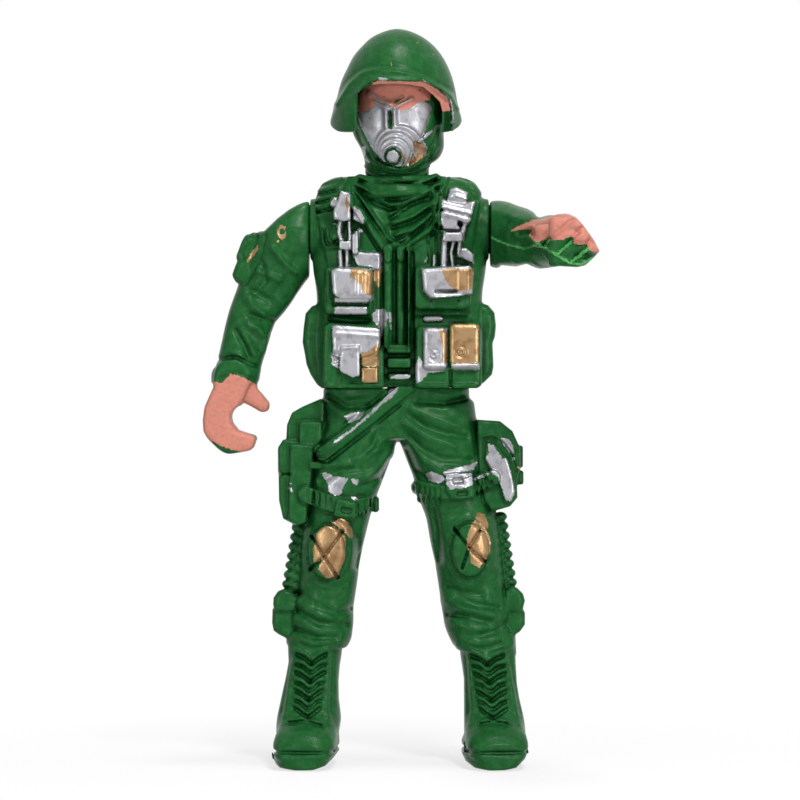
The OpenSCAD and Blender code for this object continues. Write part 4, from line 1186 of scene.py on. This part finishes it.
def arm(side):
    """Side -1 is the right arm, which hangs, and side 1 the left, raised forward."""
    name = "right" if side < 0 else "left"
    lift = LEFT_RAISE if side > 0 else 0.0
    c, s = math.cos(lift), math.sin(lift)
    matrix = [[side, 0, 0], [0, c, s], [0, -s, c]]
    shift = np.array([side * ARM_X, 0, ARM_Z])
    clay = Clay(*ARM_BOX[name])
    for form, k in arm_forms():
        clay.add(moved(form, matrix, shift), k)
    gx, gz = GRIP
    fingers = [(gx + 5.5, gz + 0.2), (gx + 5.1, gz - 2.4), (gx + 2.5, gz - 4.9), (gx - 1.4, gz - 5.1)]
    for y in (-1.65, 0.0, 1.65):
        clay.cut(moved(rod([(px, y, pz) for px, pz in fingers], 0.3), matrix, shift), 0.35)
    for points, high, wide in ARM_FOLDS[name]:
        far = -21.0 if side > 0 and points[0] > HAND_FROM_U else 3.0
        clay.ridge(points, high, wide, (-40.0, far))
    for x0, down0, x1, down1, radius in BACK_FOLDS:
        clay.add(moved(rod([(x0, 3.2, -down0), (x1, 3.2, -down1)], radius), matrix, shift), 0.9)
    clay.trim(area(ARM_OUTLINES[name]), (-32.0, 7.0), 0.7)
    # The flat face and its hub
    clay.keep(lambda x, y, z: ARM_X - side * x + 0 * y * z, 0.06)
    clay.add(hub(side, ARM_X - 0.35, ARM_X + 1, HUB_RADIUS, 0.05), 0.05)
    grip = moved(rod([(gx, -6, gz), (gx, 6, gz)], 1.6), matrix, shift)
    clay.cut(grip, 0.1)
    made, points, normals = clay.mesh(name + "_arm")
    # The left hand is sprayed from the front, and its sleeve only on the side towards the body
    flesh_reach = None if side < 0 else np.interp(points[:, 0], *LEFT_FLESH)
    paint(made, points, normals, ARM_COATS[name], *ARM_PAINT[name], flesh_reach)
    finish_piece(made, "arm_" + name, "arm_" + name)


# The outline of each arm on the photograph
ARM_OUTLINES = {
    "right": (
        330, 190, 303, 202, 290, 209, 278, 218, 264, 231.5, 261, 231, 253, 229, 247, 231, 241, 241,
        237, 253, 233, 264, 231, 274, 234, 280, 234.5, 290, 232, 300, 228, 314, 225, 326, 222, 340,
        219, 353, 216, 362, 211.5, 371, 211, 382, 213, 386, 209, 396, 205, 406, 202, 420, 203, 431,
        208, 440, 217, 450, 227, 454.5, 240, 454.5, 250, 452, 254, 446, 256, 440, 262, 436, 272, 415,
        270, 402, 263, 394, 257, 388, 259, 382, 260, 372, 263, 360, 267, 345, 271, 332, 275, 322,
        284, 312, 295, 296, 305, 282, 313, 272, 330, 262,
    ),
    "left": (
        470, 190, 486, 198, 499.5, 200, 508, 202, 518, 206, 527, 208.6, 533, 212, 537, 217,
        540.5, 217.5, 552, 213.5, 567, 212.5, 576, 217.5, 582.5, 224.6, 593, 239, 599, 250.5, 594, 256,
        585, 264.5, 577, 267, 559, 265.5, 539.6, 269.5, 527, 262.5, 516, 265.5, 501, 264, 497.7, 269,
        489.6, 269.5, 470, 270,
    ),
}
# Folds of each sleeve on the photograph: points, height and width in pixels
ARM_FOLDS = {
    "right": [
        ((272, 247, 284, 262, 296, 272), 0.55, 3.2), ((258, 271, 267, 273, 280, 280), 0.5, 3.2),
        ((249, 298, 253, 306, 264, 314), 0.55, 3.5),
        ((248, 325, 258, 328, 267, 338, 266, 350), 0.6, 3.5),
        ((241, 328, 249, 342, 255, 355), 0.4, 3.0), ((232, 352, 240, 355, 246, 357), 0.3, 2.2),
        ((262, 262, 266, 280, 258, 290), -0.5, 3.0), ((270, 300, 262, 296, 250, 290), -0.5, 3.6),
        ((236, 330, 244, 345, 248, 356), -0.5, 3.0), ((272, 320, 262, 318, 250, 314), -0.55, 3.3),
        ((296, 256, 288, 276, 276, 292), -0.25, 5.0),
        ((256, 236, 247, 240, 241, 252, 243, 258), -0.35, 2.2),
        ((266, 236, 262, 252, 254, 270, 246, 284), -0.35, 2.0),
        ((214, 360, 236, 356, 256, 366), -0.35, 2.0), ((219, 379, 236, 372, 256, 380), -0.25, 2.0),
    ],
    "left": [
        ((487, 235, 496, 240, 510, 244.6, 525, 248.7, 533, 245.5), 0.22, 1.2),
        ((536, 242, 551, 251, 569, 262.5, 578, 264.5, 597, 256), 0.22, 1.2),
        ((490, 212, 506, 214, 522, 221), 0.25, 5.0), ((516, 236, 526, 238, 535, 243), 0.3, 3.0),
        ((573, 219, 562, 228, 551, 237.5, 544, 245), -0.45, 2.2),
        ((582, 227, 574, 236, 558, 254), -0.4, 2.0), ((590, 237, 588, 244, 571, 262), -0.35, 1.8),
        ((532, 226, 524, 229, 514, 232), 0.3, 2.5), ((533, 233, 530, 229, 520, 233), -0.4, 2.0),
    ],
}
# Right of this column the left arm's folds are on its hand
HAND_FROM_U = 535
# Swells on the back of a sleeve: out and down at each end, and a radius
BACK_FOLDS = [(3.5, 4.5, 7.5, 7.5, 1.0), (5.0, 8.5, 9.5, 10.5, 1.0), (6.5, 12.5, 10.5, 14.8, 0.9)]
ARM_COATS = {
    "right": {
        "flesh": [
            area((213, 381, 222, 382, 231, 373, 244, 377, 255, 383, 262, 389, 272, 402, 270, 413,
                262, 414, 250, 408, 243, 412, 238, 420, 246, 430, 258, 438, 258, 446, 250, 455, 238, 451,
                222, 446, 210, 440, 200, 436, 199, 412, 208, 392)),
        ],
        "gold": [
            area((247, 259, 252, 250, 258, 244, 258, 249, 252, 258, 247, 262)),
            area((277, 229, 281, 223.5, 286, 226, 286, 236, 282, 240, 278, 236)),
            oval(278, 241.5, 1.4, 1.4),
        ],
        "bare": [oval(281.8, 231, 1.8, 3.6, 0.2)],
    },
    "left": {
        "flesh": [
            area((510, 231, 516, 226, 530, 221, 538, 214, 556, 209, 572, 209, 592, 226, 604, 252,
                594, 252, 588, 249, 587, 243.5, 578, 244.5, 573.5, 242, 573.5, 236, 560, 240,
                551.5, 239.5, 550, 237, 538.5, 242.5, 534, 241, 529, 235, 532, 229, 520, 229.5)),
        ],
        # Painted highlight along the left hand's flash line and finger edges, on a real flash
        "flash_highlight": [
            line((486, 234, 497, 240, 510, 245, 523.6, 248, 536, 244.5), 1.2),
            line((536, 242, 546, 248, 559, 256, 570, 262.5, 581.6, 264, 593, 257), 1.4),
            line((544, 247, 549.5, 239), 1.5), line((556, 254.5, 571, 242), 1.7),
            line((572, 261, 588, 248), 1.7),
        ],
    },
}


# Lower body

LEGS_BOX = ((-18.4, -11.4, -0.6), (18.4, 8.4, 52.2))
# Height, middle across and back, and half sizes of each trouser leg
RIGHT_LEG = [
    (15.9, -10.8, 0.1, 3.5, 4.0), (16.9, -10.75, 0.1, 4.2, 4.6), (19.4, -10.65, 0.1, 4.4, 4.8),
    (21.6, -10.4, 0.1, 4.15, 4.7), (23.8, -9.9, 0, 4.0, 4.7), (27.1, -9.45, -0.1, 4.0, 4.8),
    (30.3, -9.05, -0.1, 4.2, 5.0), (33.6, -8.6, 0, 4.55, 5.2), (36.9, -7.93, 0, 4.92, 5.4),
    (39.1, -7.4, 0, 5.3, 5.6), (41.2, -6.85, 0, 5.55, 5.7), (43.4, -6.3, 0, 5.75, 5.7),
    (46.0, -5.4, 0, 5.4, 5.7), (49.5, -4.9, 0, 5.2, 5.6),
]
LEFT_LEG = [
    (15.6, 11.3, 0.1, 3.5, 4.0), (16.6, 11.1, 0.1, 4.0, 4.5), (18.6, 10.8, 0.1, 4.6, 4.8),
    (20.6, 10.6, 0.1, 4.75, 4.8), (23.8, 9.95, 0, 4.55, 4.7), (27.1, 9.5, -0.1, 4.6, 4.8),
    (30.3, 9.0, -0.1, 4.8, 5.0), (33.6, 8.5, 0, 4.85, 5.2), (36.9, 7.3, 0, 4.95, 5.4),
    (39.1, 6.85, 0, 4.95, 5.6), (41.2, 6.3, 0, 5.25, 5.7), (43.4, 5.75, 0, 5.55, 5.7),
    (46.0, 5.2, 0, 5.4, 5.7), (49.5, 4.9, 0, 5.2, 5.6),
]
HIP_ROWS = [
    (44.4, -0.3, 0, 3.8, 4.5), (45.8, -0.3, 0, 9.0, 5.2), (48.5, -0.45, 0, 9.95, 5.7),
    (51.2, -0.45, 0, 9.9, 5.75),
]
BOOT_ROWS = [
    (1.5, 0.4, -0.6, 4.2, 4.6), (6.5, 0.35, -0.4, 4.25, 4.6), (9.5, 0.1, -0.1, 4.0, 4.1),
    (13.0, -0.15, 0, 3.75, 3.9), (16.0, -0.4, 0, 3.8, 4.1), (18.2, -0.5, 0, 3.8, 4.0),
]
# The foot from heel to toe: depth, middle across, middle height, and half sizes
FOOT_ROWS = [
    (5.35, 0, 3.0, 2.7, 2.3), (4.6, 0, 4.4, 3.6, 3.9), (2.0, 0, 5.0, 3.95, 4.6),
    (-1.0, 0, 4.9, 4.1, 4.5), (-3.5, 0, 4.1, 4.05, 3.7), (-5.5, 0, 3.4, 4.2, 3.1),
    (-7.6, 0, 2.9, 4.15, 2.55), (-9.0, 0, 2.5, 3.6, 2.0), (-9.75, 0, 2.2, 2.6, 1.3),
]
SOLE_ROWS = [(0, 0, -2.2, 4.1, 7.4), (0.5, 0, -2.2, 4.4, 7.7), (2.3, 0, -2.2, 4.45, 7.75)]
# The groove that parts the sole from the boot
GROOVE_Z = 2.5
GROOVE_DEEP = 0.5
GROOVE_WIDE = 0.24
TOE_OUT = math.radians(7)
# How far each ankle is from the middle
ANKLE = {-1: 12.0, 1: 12.4}
BOOT = (-14.0, -1.5)
# The laces of each boot: their middle above and below, their top row and their half widths
LACES = [(312, 307, 650, 15, 14), (487, 494, 651, 15, 16)]
LACE_ROWS = 7
# Rows of the photograph from lace to lace
LACE_PITCH = 9.0
# Toe caps, the collar of the left boot and the moulding's flash
BOOT_TRIM = [
    (fold, (289, 719, 304, 717, 322, 722), 0.3, 2.0, (0, 4), -0.35, 1.7, BOOT),
    (fold, (480, 720, 494, 718, 508, 720), 0.3, 2.0, (0, 4), -0.35, 1.7, BOOT),
    (ridge, (457, 645, 470, 650, 487, 654, 503, 650, 515, 641), 0.35, 3.5, BOOT),
    (build, line((464, 741, 465, 752), 0.8), -4.5, 0.1, -3.5, 0.1),
    (build, line((526, 742, 528, 752), 0.8), -4.5, 0.1, -3.5, 0.1),
    (build, line((272.5, 752, 273, 758), 0.8), -4.5, 0.1, -3.5, 0.1),
]
# The outline of each boot on the photograph, and the row from which it trims the boot
BOOT_TOP_V = 672
BOOT_OUTLINES = [
    (230, 540, 230, 640, 288, 644, 289, 661, 286, 677, 282, 693, 278, 709, 274, 725, 272, 741,
        271.5, 755, 274, 761, 280, 767, 296, 770.5, 312, 770, 325, 765, 333, 757, 339, 749, 339.5, 741,
        338.5, 731, 341.5, 717, 341, 706, 339, 698, 338.5, 680, 340.5, 663, 345, 650, 395, 640,
        395, 540),
    (404, 540, 404, 636, 455, 646, 461, 663, 464, 677, 464.5, 733, 461, 740, 462, 752, 466, 760,
        475, 767, 490, 770.5, 504, 770, 516, 767, 524, 759, 528.5, 751, 528.5, 742, 526, 728, 523, 714,
        519, 698, 516.5, 682, 515.5, 655, 570, 640, 570, 540),
]

# The trousers' creases and swells
CLOTH = (-14.0, 1.0)
CREASES = [
    (408, 414, 425, 426, 446, 433, 466, 437), (402, 428, 421, 448, 442, 458, 470, 460),
    (408, 449, 416, 468, 427, 478), (420, 401, 444, 404, 462, 399), (330, 396, 347, 407, 368, 405),
    (363, 485, 380, 476, 389, 462), (322, 480, 340, 470, 360, 468), (294, 608, 319, 622, 346, 624),
    (300, 594, 316, 604, 338, 612, 350, 608), (449, 614, 471, 616, 490, 622),
    (458, 596, 476, 604, 498, 608), (480, 634, 495, 631, 508, 622), (296, 628, 312, 636, 336, 638),
    (448, 586, 462, 592, 480, 594), (352, 520, 358, 540, 356, 566), (434, 508, 438, 530, 440, 560),
    (378, 430, 372, 446, 356, 462),
]
SWELLS = [
    (412, 408, 432, 418, 458, 425), (408, 424, 428, 438, 455, 446), (410, 440, 424, 460, 440, 470),
    (322, 464, 353, 463, 377, 449), (330, 404, 344, 416, 362, 414), (368, 478, 382, 466, 390, 452),
    (303, 597, 320, 605, 336, 609), (295, 616, 307, 626, 320, 632), (297, 601, 312, 612, 330, 618),
    (458, 607, 474, 611, 496, 615), (452, 620, 464, 626, 480, 630), (446, 600, 456, 604, 466, 610),
    (460, 640, 480, 643, 500, 638), (292, 636, 312, 643, 340, 640), (430, 392, 448, 394, 462, 391),
]
# Pouches and holsters on the thighs, and the small ones at the calves
HOLSTERS = [
    # Right of the wearer: an upper flap, a long holster and its back plate
    (build, area((292, 412, 302.5, 406, 321, 398, 325, 402, 324, 450, 290, 448, 286, 442, 287, 424)),
        -3.6, 0.5, 4.2),
    (build, rect(299, 421, 322, 452, 3), -4.6, 0.4, -0.5),
    (build, area((278, 447, 283, 439, 308, 441, 310, 472, 306, 523, 296, 525, 283, 518, 279, 500)),
        -4.2, 0.5, 3.4),
    (build, area((290, 443, 314, 444, 312, 470, 306, 522, 298, 525, 288, 520)), -5.0, 0.45, 0),
    (build, rect(278, 448, 292, 473, 2), -3.3, 0.35, 2.6),
    (ridge, (279, 473.5, 290, 473.5), -0.4, 1.3),
    (build, rect(309, 461, 322, 468, 1.5), -5.6, 0.3, -1),
    (ridge, (292, 446, 312, 447), 0.25, 1.5),
    # Left of the wearer: a round pouch and a sheath
    (build, area((477, 419, 500, 420.5, 512.5, 430.5, 520, 447, 520.5, 466, 517, 480, 517.5, 497,
        510, 506, 492, 511, 484, 500, 478, 470)), -4.4, 0.6, 3.8),
    (build, area((486, 441, 495, 443, 508, 458, 514, 480, 515, 492, 511, 501, 505, 500, 497, 478,
        485, 458)), -5.2, 0.3, 0),
    (build, rect(512, 445, 523, 467, 2), -2.8, 0.35, 2.6),
    (build, rect(513, 470, 523.5, 484, 2), -2.2, 0.4, 2.2),
    (ridge, (482, 436, 492, 433, 504, 440, 514, 452), 0.35, 2.0),
    (ridge, (500, 438, 510, 452, 516, 470), -0.35, 1.8),
    # Pouches above the boots
    (build, area((273, 604, 273.5, 597, 278, 590.5, 284, 588, 291, 590, 297, 596, 297, 612, 275, 611)),
        -2.9, 0.9, 2.9),
    (build, area((272.5, 608, 296, 609, 295, 640, 287, 638, 279, 634, 273.5, 630, 272, 622)),
        -2.3, 0.9, 2.9),
    (build, area((504, 590, 511, 585.5, 517, 587, 523, 593, 525, 600, 523, 608, 520, 612, 504, 612)),
        -2.9, 0.9, 2.9),
    (build, area((505, 609, 522, 607, 525, 612, 525, 624, 520, 631, 511, 637, 506, 641)),
        -2.3, 0.9, 2.9),
]
# The belt across the hips and the ribbed straps round the thighs
THIGH = (-14.0, 1.5)
BELT = (413, 383, 394, 397, 368, 418, 345, 436, 322, 454)
RIGHT_THIGH_STRAP = (306, 494, 330, 503, 354, 508, 364, 504.5)
LEFT_THIGH_STRAP = (418, 487, 440, 492, 470, 488, 493, 477)
RIGHT_RIBS = (
    308, 494, 313, 496, 319, 498, 325, 500, 331, 502.5, 358, 508, 362, 507, 366, 505.5, 370, 503.5,
    374, 501.5,
)
LEFT_RIBS = (
    414, 492, 419, 492.5, 424, 493, 429, 493.5, 434, 494, 439, 494.2, 476, 486, 481, 483.5, 486, 481,
)
THIGH_STRAPS = [
    (lay, line(BELT, 5.8), 0.5, 0.15, SHALLOW),
    (ridge, shifted(BELT, -3.3, -4.3), 0.25, 1.3),
    (ridge, shifted(BELT, 3.3, 4.3), 0.25, 1.3),
    (ridge, shifted(BELT[2:], 6, 7.5), -0.4, 1.8),
    (ridge, shifted(BELT[2:], -6, -7.5), -0.3, 1.8),
    (lay, line(RIGHT_THIGH_STRAP, 8.0), 0.7, 0.2, THIGH),
    (lay, line(LEFT_THIGH_STRAP, 7.4), 0.7, 0.2, THIGH),
    *[(ridge, (u, v - 5, u - 0.6, v + 6), -0.3, 1.0, THIGH) for u, v in pairs(RIGHT_RIBS)],
    *[(ridge, (u, v - 7, u + 0.4, v + 7), -0.3, 1.05, THIGH) for u, v in pairs(LEFT_RIBS)],
    # Buckles
    (lay, rect(335, 500, 356, 517, 2, 0.18), 0.5, 0.12, THIGH),
    (press, rect(341, 507, 352, 513, 1, 0.18), 0.4, 0.08, THIGH),
    (lay, area((445, 473, 472, 471, 476, 490, 474, 497, 452, 499, 446, 490)), 0.5, 0.12, THIGH),
    (press, rect(453, 477, 463.5, 484, 1, -0.08), 0.5, 0.08, THIGH),
    (press, rect(457, 490.5, 468, 495.5, 1, -0.1), 0.4, 0.08, THIGH),
    (lay, rect(477, 472, 490, 483, 1.5, -0.45), 0.4, 0.12, THIGH),
]
# Each knee pad's middle, and the two marks that cross on it
KNEES = [
    (327, 551.5, (312, 536, 324, 556, 338, 577), (343, 530, 324, 556, 310, 569)),
    (470, 549.5, (454, 528, 469, 547, 485, 561), (480, 530, 469, 547, 462, 568)),
]
KNEE = (-14.0, -1.5)
# A rim, a step and a face for each knee pad, and its marks
KNEE_PADS = [
    row
    for u, v, mark, cross in KNEES
    for row in (
        (ridge, oval(u, v, 24, 33.5), 0.3, 3.5),
        (lay, oval(u, v, 22.5, 31.5), 0.45, 0.35, KNEE),
        (ridge, oval(u, v, 19.5, 28.5), -0.3, 1.6),
        (lay, oval(u, v, 18.5, 27.0), 0.75, 0.6, KNEE),
        (ridge, mark, -0.7, 1.15),
        (ridge, cross, -0.7, 1.15),
    )
]


def legs():
    clay = Clay(*LEGS_BOX)
    clay.add(tower(HIP_ROWS, 2.8, 0.15), 0)
    for rows in (RIGHT_LEG, LEFT_LEG):
        clay.add(tower(rows, 2.3, 0.5), 0.85)
    for points in CREASES:
        clay.ridge(points, -0.5, 3.6, CLOTH)
    for points in SWELLS:
        clay.ridge(points, 0.4, 4.2, CLOTH)
    back_folds(clay)
    clay.work(HOLSTERS)
    clay.work(THIGH_STRAPS)
    back_straps(clay)
    clay.work(KNEE_PADS)
    ropes(clay)
    for side in (-1, 1):
        boot(clay, side)
    for points in BOOT_OUTLINES:
        outline = area(points)
        outline.box = (outline.box[0], BOOT_TOP_V, outline.box[2], outline.box[3])
        clay.trim(outline, (-12.0, 7.0), 0.4)
    laces(clay)
    clay.keep(lambda x, y, z: z - (HEM_Z - 0.08) + 0 * x * y, 0.05)
    clay.keep(lambda x, y, z: -z + 0 * x * y, 0.05)
    made, points, normals = clay.mesh("trousers_and_boots")
    paint(made, points, normals, LEG_COATS, reach=1.0, turned_away=0.0)
    finish_piece(made, "lower_body", "legs")


def boot(clay, side):
    matrix = turn_z(side * TOE_OUT)
    shift = np.array([side * ANKLE[side], 0, 0])
    upper = Clay(clay.low, clay.low + (clay.count - 1) * clay.voxel)
    shaft = [(z, side * x, y, a, b) for z, x, y, a, b in BOOT_ROWS]
    for rows, e, along, k in ((shaft, 2.3, 2, 0), (FOOT_ROWS, 2.4, 1, 0.8)):
        upper.add(moved(tower(rows, e, 0.4, along), matrix, shift), k)
    upper.add(moved(tower(SOLE_ROWS, 2.7, 0.25), matrix, shift), 0.12)
    where, (x, y, z) = upper.window((-20, -12, 0), (20, 8, 4))
    upper.d[where] += GROOVE_DEEP * np.exp(-(((z - GROOVE_Z) / GROOVE_WIDE) ** 2)) + 0 * x * y
    clay.d[:] = soft_min(clay.d, upper.d, 0.12)
    # A seam up the heel
    clay.add(moved(block((0, 4.2, 9.5), (1.2, 0.6, 5.5), 0.4), matrix, shift), 0.3)


def laces(clay):
    """Crossed laces, the seams beside them and what trims the boots."""
    for high, low, top, left, right in LACES:
        for i in range(LACE_ROWS):
            v = top + LACE_PITCH * i
            u = high + (low - high) * i / LACE_ROWS
            spread = 1 - 0.03 * i
            for half, turn in ((-left, 1), (right, -1)):
                a = (u + half * spread * 1.05, v - 1 + (2.0 if i % 2 else 0.0))
                b = (u + half * 0.5, v + 3.0)
                c = (u - turn * (2.5 if i % 2 else 0.5), v + 8.5)
                clay.fold((*a, *b, *c), 0.5, 2.6, (0, 4.6), -0.45, 1.9, BOOT)
        for half in (-left - 3.5, right + 3.5):
            seam = [(high + half, top + 4), (low + half * 1.15, top + 58), (low + half * 1.3, top + 72)]
            clay.ridge(seam, 0.25, 2.4, BOOT)
            clay.ridge([(high + half * 1.15, top + 6), (low + half * 1.35, top + 62)], -0.25, 1.8, BOOT)
    clay.work(BOOT_TRIM)


# Folds behind each leg: place across, height, lean and thickness
BEHIND = [
    (4.6, 44.6, 1.6, 0.7), (6.2, 41.6, -1.2, 0.65), (8.4, 36.2, 1.0, 0.6), (9.6, 27.6, -1.3, 0.65),
    (9.9, 25.2, 1.2, 0.65), (10.4, 21.6, -1.4, 0.7), (10.8, 19.4, 1.0, 0.7),
]


def back_folds(clay):
    """Folds behind, of the same kind, from loose rods laid on the cloth."""
    for side in (-1, 1):
        for x, z, lean, high in BEHIND:
            y = 5.0 if z > 30 else 4.2
            ends = [(side * (x - 3.0), y - 0.9, z - lean), (side * (x + 3.0), y - 1.0, z + lean)]
            clay.add(rod([ends[0], (side * x, y, z), ends[1]], [0.3, high, 0.3]), 0.9)
    clay.cut(rod([(0, 6.1, 50.5), (0, 5.9, 45.5)], [0.35, 0.5]), 0.9)


def back_straps(clay):
    """The thigh straps where they go on round the back."""
    for side, x, z in ((-1, -8.0, 36.8), (1, 7.6, 38.1)):
        t = np.linspace(0, math.pi, 13)
        loop = np.transpose([x + 4.75 * np.cos(t), 5.5 * np.sin(t), z + side * 0.8 * np.cos(t)])
        for drop in (0, 0.6, 1.2):
            clay.add(rod(loop - (0, 0, drop), 0.5), 0.2)


# Rows from bead to bead
ROPE_PITCH = 9.4
# Each rope's column at its top and foot, the row of its top and its count of beads
ROPES = [(298, 288.5, 527, 7), (500.5, 510.5, 516, 8)]


def ropes(clay):
    """The beaded rope down the outside of each leg."""
    for u_top, u_low, v_top, count in ROPES:
        for i in range(count):
            t = i / (count - 1)
            u, v = u_top + (u_low - u_top) * t, v_top + ROPE_PITCH * i
            x, y, z = at(u, v, -0.4)
            side = 1 if u > AXIS_U else -1
            clay.add(ball((x, y, z), (0.9, 1.2, 0.66)), 0.12)
            clay.add(ball((x - side * 0.9, y, z - 0.5), (1.3, 1.1, 0.8)), 0.25)


LEG_COATS = {
    "silver": [
        line((397, 387, 386, 398, 371, 413, 351, 430, 334, 442), 1.5),
        area((390, 388, 397, 385, 398, 390, 391, 398, 384, 403)),
        area((343.5, 416, 352, 412, 365, 411, 360, 418, 350, 423)),
        area((321, 473, 326, 471.5, 333, 475, 349, 478, 344, 485, 341, 494, 335, 496, 329, 491,
            327, 482)),
        area((351, 478, 359.5, 479, 358, 484, 355, 485.5, 351.5, 481)),
        area((351, 496, 356, 496, 360, 499.5, 353, 500)),
        area((424.5, 473, 433, 471, 443, 475, 446, 480, 438, 483, 429, 480.5)),
        area((443, 471, 460, 466, 470, 464, 476, 460, 477.5, 463, 474, 469, 462, 472, 450, 475.5,
            444, 475)),
        area((446, 474, 472, 472, 473, 484, 466, 487, 450, 489, 446, 484)),
        line((475, 478.5, 488, 473.5), 1.4),
        area((487, 443, 493, 444.5, 501.5, 455, 501, 458, 506.5, 457, 511.5, 472, 515, 491, 512, 501,
            505.5, 500, 501.5, 487, 498, 476.5, 492.5, 474, 489, 466, 485, 457.5, 489, 452.5)),
        area((500, 437, 508, 438, 513, 444, 514, 454, 509, 451.5, 503.5, 444.5)),
        oval(513.8, 458.5, 1.4, 1.8), oval(290.5, 483, 1.2, 1.4), line((289, 487, 292, 490.5), 1.0),
    ],
    "gold": [
        area((317, 531.5, 325, 525, 335, 526, 341, 531, 346, 537, 346, 556, 338, 576.5, 327, 578.5,
            318, 569, 322, 559, 314, 563, 312.5, 549, 315.5, 540)),
        area((331.5, 522, 340.5, 517, 348.5, 521, 353, 530, 352, 539, 344, 531.5)),
        area((474.5, 519, 468, 531.5, 466, 545, 469.5, 552, 470.5, 562.5, 479, 568, 484, 562.5, 490, 552,
            491, 540, 485.5, 526)),
        area((476.5, 512, 484.5, 513, 489, 523, 488, 529, 480, 523, 475, 518)),
    ],
    "flesh": [oval(518.5, 467, 1.6, 1.4)],
}


# The stage, light and camera

# Each lamp's name, place in metres, width and power
LAMPS = [
    ("key", (0.12, -0.4, 0.46), 0.1, 2.7), ("fill", (0.3, -0.48, 0.06), 0.1, 1.1),
    ("low", (-0.3, -0.5, 0.06), 0.1, 0.7), ("top", (0.06, -0.05, 0.62), 0.14, 1.6),
]
FLOOR_HALF = 3.0
FLOOR_GREY = (0.85, 0.85, 0.85, 1)
WHITE = (1, 1, 1, 1)
# How strongly the white world lights the figure
WORLD_LIGHT = 0.14
# The floor seen turns white: from and to metres away, and how much of it is white at each
FLOOR_FADE = (0.02, 0.1, 0.72, 1.0)
PICTURE = 800
SENSOR_MM = 36


def area_light(name, place, target, size, power):
    data = bpy.data.lights.new(name, "AREA")
    data.shape = "DISK"
    data.size = size
    data.energy = power
    lamp = bpy.data.objects.new(name, data)
    bpy.context.scene.collection.objects.link(lamp)
    place, target = np.array(place), np.array(target)
    lamp.location = place
    lamp.rotation_euler = Vector(target - place).to_track_quat("-Z", "Y").to_euler()


def pale_rays(tree):
    """1 for rays that should see the white background: camera, glossy and transmission."""
    path = tree.nodes.new("ShaderNodeLightPath")
    seen = math_node(tree, "MAXIMUM", path.outputs["Is Camera Ray"], path.outputs["Is Glossy Ray"])
    return math_node(tree, "MAXIMUM", seen, path.outputs["Is Transmission Ray"])


def stage():
    world = bpy.data.worlds.new("studio")
    world.use_nodes = True
    bpy.context.scene.world = world
    tree = world.node_tree
    tree.nodes.clear()
    out = tree.nodes.new("ShaderNodeOutputWorld")
    dim = make(tree, "ShaderNodeBackground", Color=WHITE, Strength=WORLD_LIGHT)
    bright = make(tree, "ShaderNodeBackground", Color=WHITE, Strength=1.0)
    mix = make(tree, "ShaderNodeMixShader", Fac=pale_rays(tree), i1=dim.outputs[0], i2=bright.outputs[0])
    tree.links.new(mix.outputs[0], out.inputs[0])

    mesh = bpy.data.meshes.new("floor")
    corners = [(x * FLOOR_HALF, y * FLOOR_HALF, 0) for x, y in ((-1, -1), (1, -1), (1, 1), (-1, 1))]
    mesh.from_pydata(corners, [], [(0, 1, 2, 3)])
    floor = bpy.data.objects.new("floor", mesh)
    bpy.context.scene.collection.objects.link(floor)
    material, tree, shader = nodes_of("white_floor")
    shader.inputs["Base Color"].default_value = FLOOR_GREY
    shader.inputs["Roughness"].default_value = 0.7
    place = make(tree, "ShaderNodeTexCoord").outputs["Object"]
    away = make(tree, "ShaderNodeVectorMath", {"operation": "LENGTH"}, i0=place).outputs["Value"]
    fade = ramp(tree, away, *FLOOR_FADE)
    glow = make(tree, "ShaderNodeEmission", Color=WHITE, Strength=1.0)
    fac = math_node(tree, "MULTIPLY", fade, pale_rays(tree))
    mix = make(tree, "ShaderNodeMixShader", Fac=fac, i1=shader.outputs[0], i2=glow.outputs[0])
    out = next(n for n in tree.nodes if n.type == "OUTPUT_MATERIAL")
    tree.links.new(mix.outputs[0], out.inputs[0])
    mesh.materials.append(material)

    for name, place, size, power in LAMPS:
        area_light(name, place, (0, CENTRE_Y * MM, 0.055), size, power)


def camera():
    data = bpy.data.cameras.new("camera")
    data.sensor_width = SENSOR_MM
    data.lens = SENSOR_MM * EYE_Y * PX / PICTURE
    data.clip_start = 0.01
    lens = bpy.data.objects.new("camera", data)
    bpy.context.scene.collection.objects.link(lens)
    lens.location = ((PICTURE / 2 - AXIS_U) / PX * MM, (CENTRE_Y - EYE_Y) * MM, EYE_Z * MM)
    lens.rotation_euler = (math.pi / 2, 0, 0)
    bpy.context.scene.camera = lens


bpy.context.scene.view_settings.view_transform = "Standard"
helmet()
head()
vest()
arm(-1)
arm(1)
legs()
pegs = peg_plastic()
for name in ("neck_peg", "waist_peg", "shoulder_peg_right", "shoulder_peg_left"):
    peg = frame["nodes"][name]
    for slot in peg.material_slots:
        slot.material = pegs
stage()
camera()
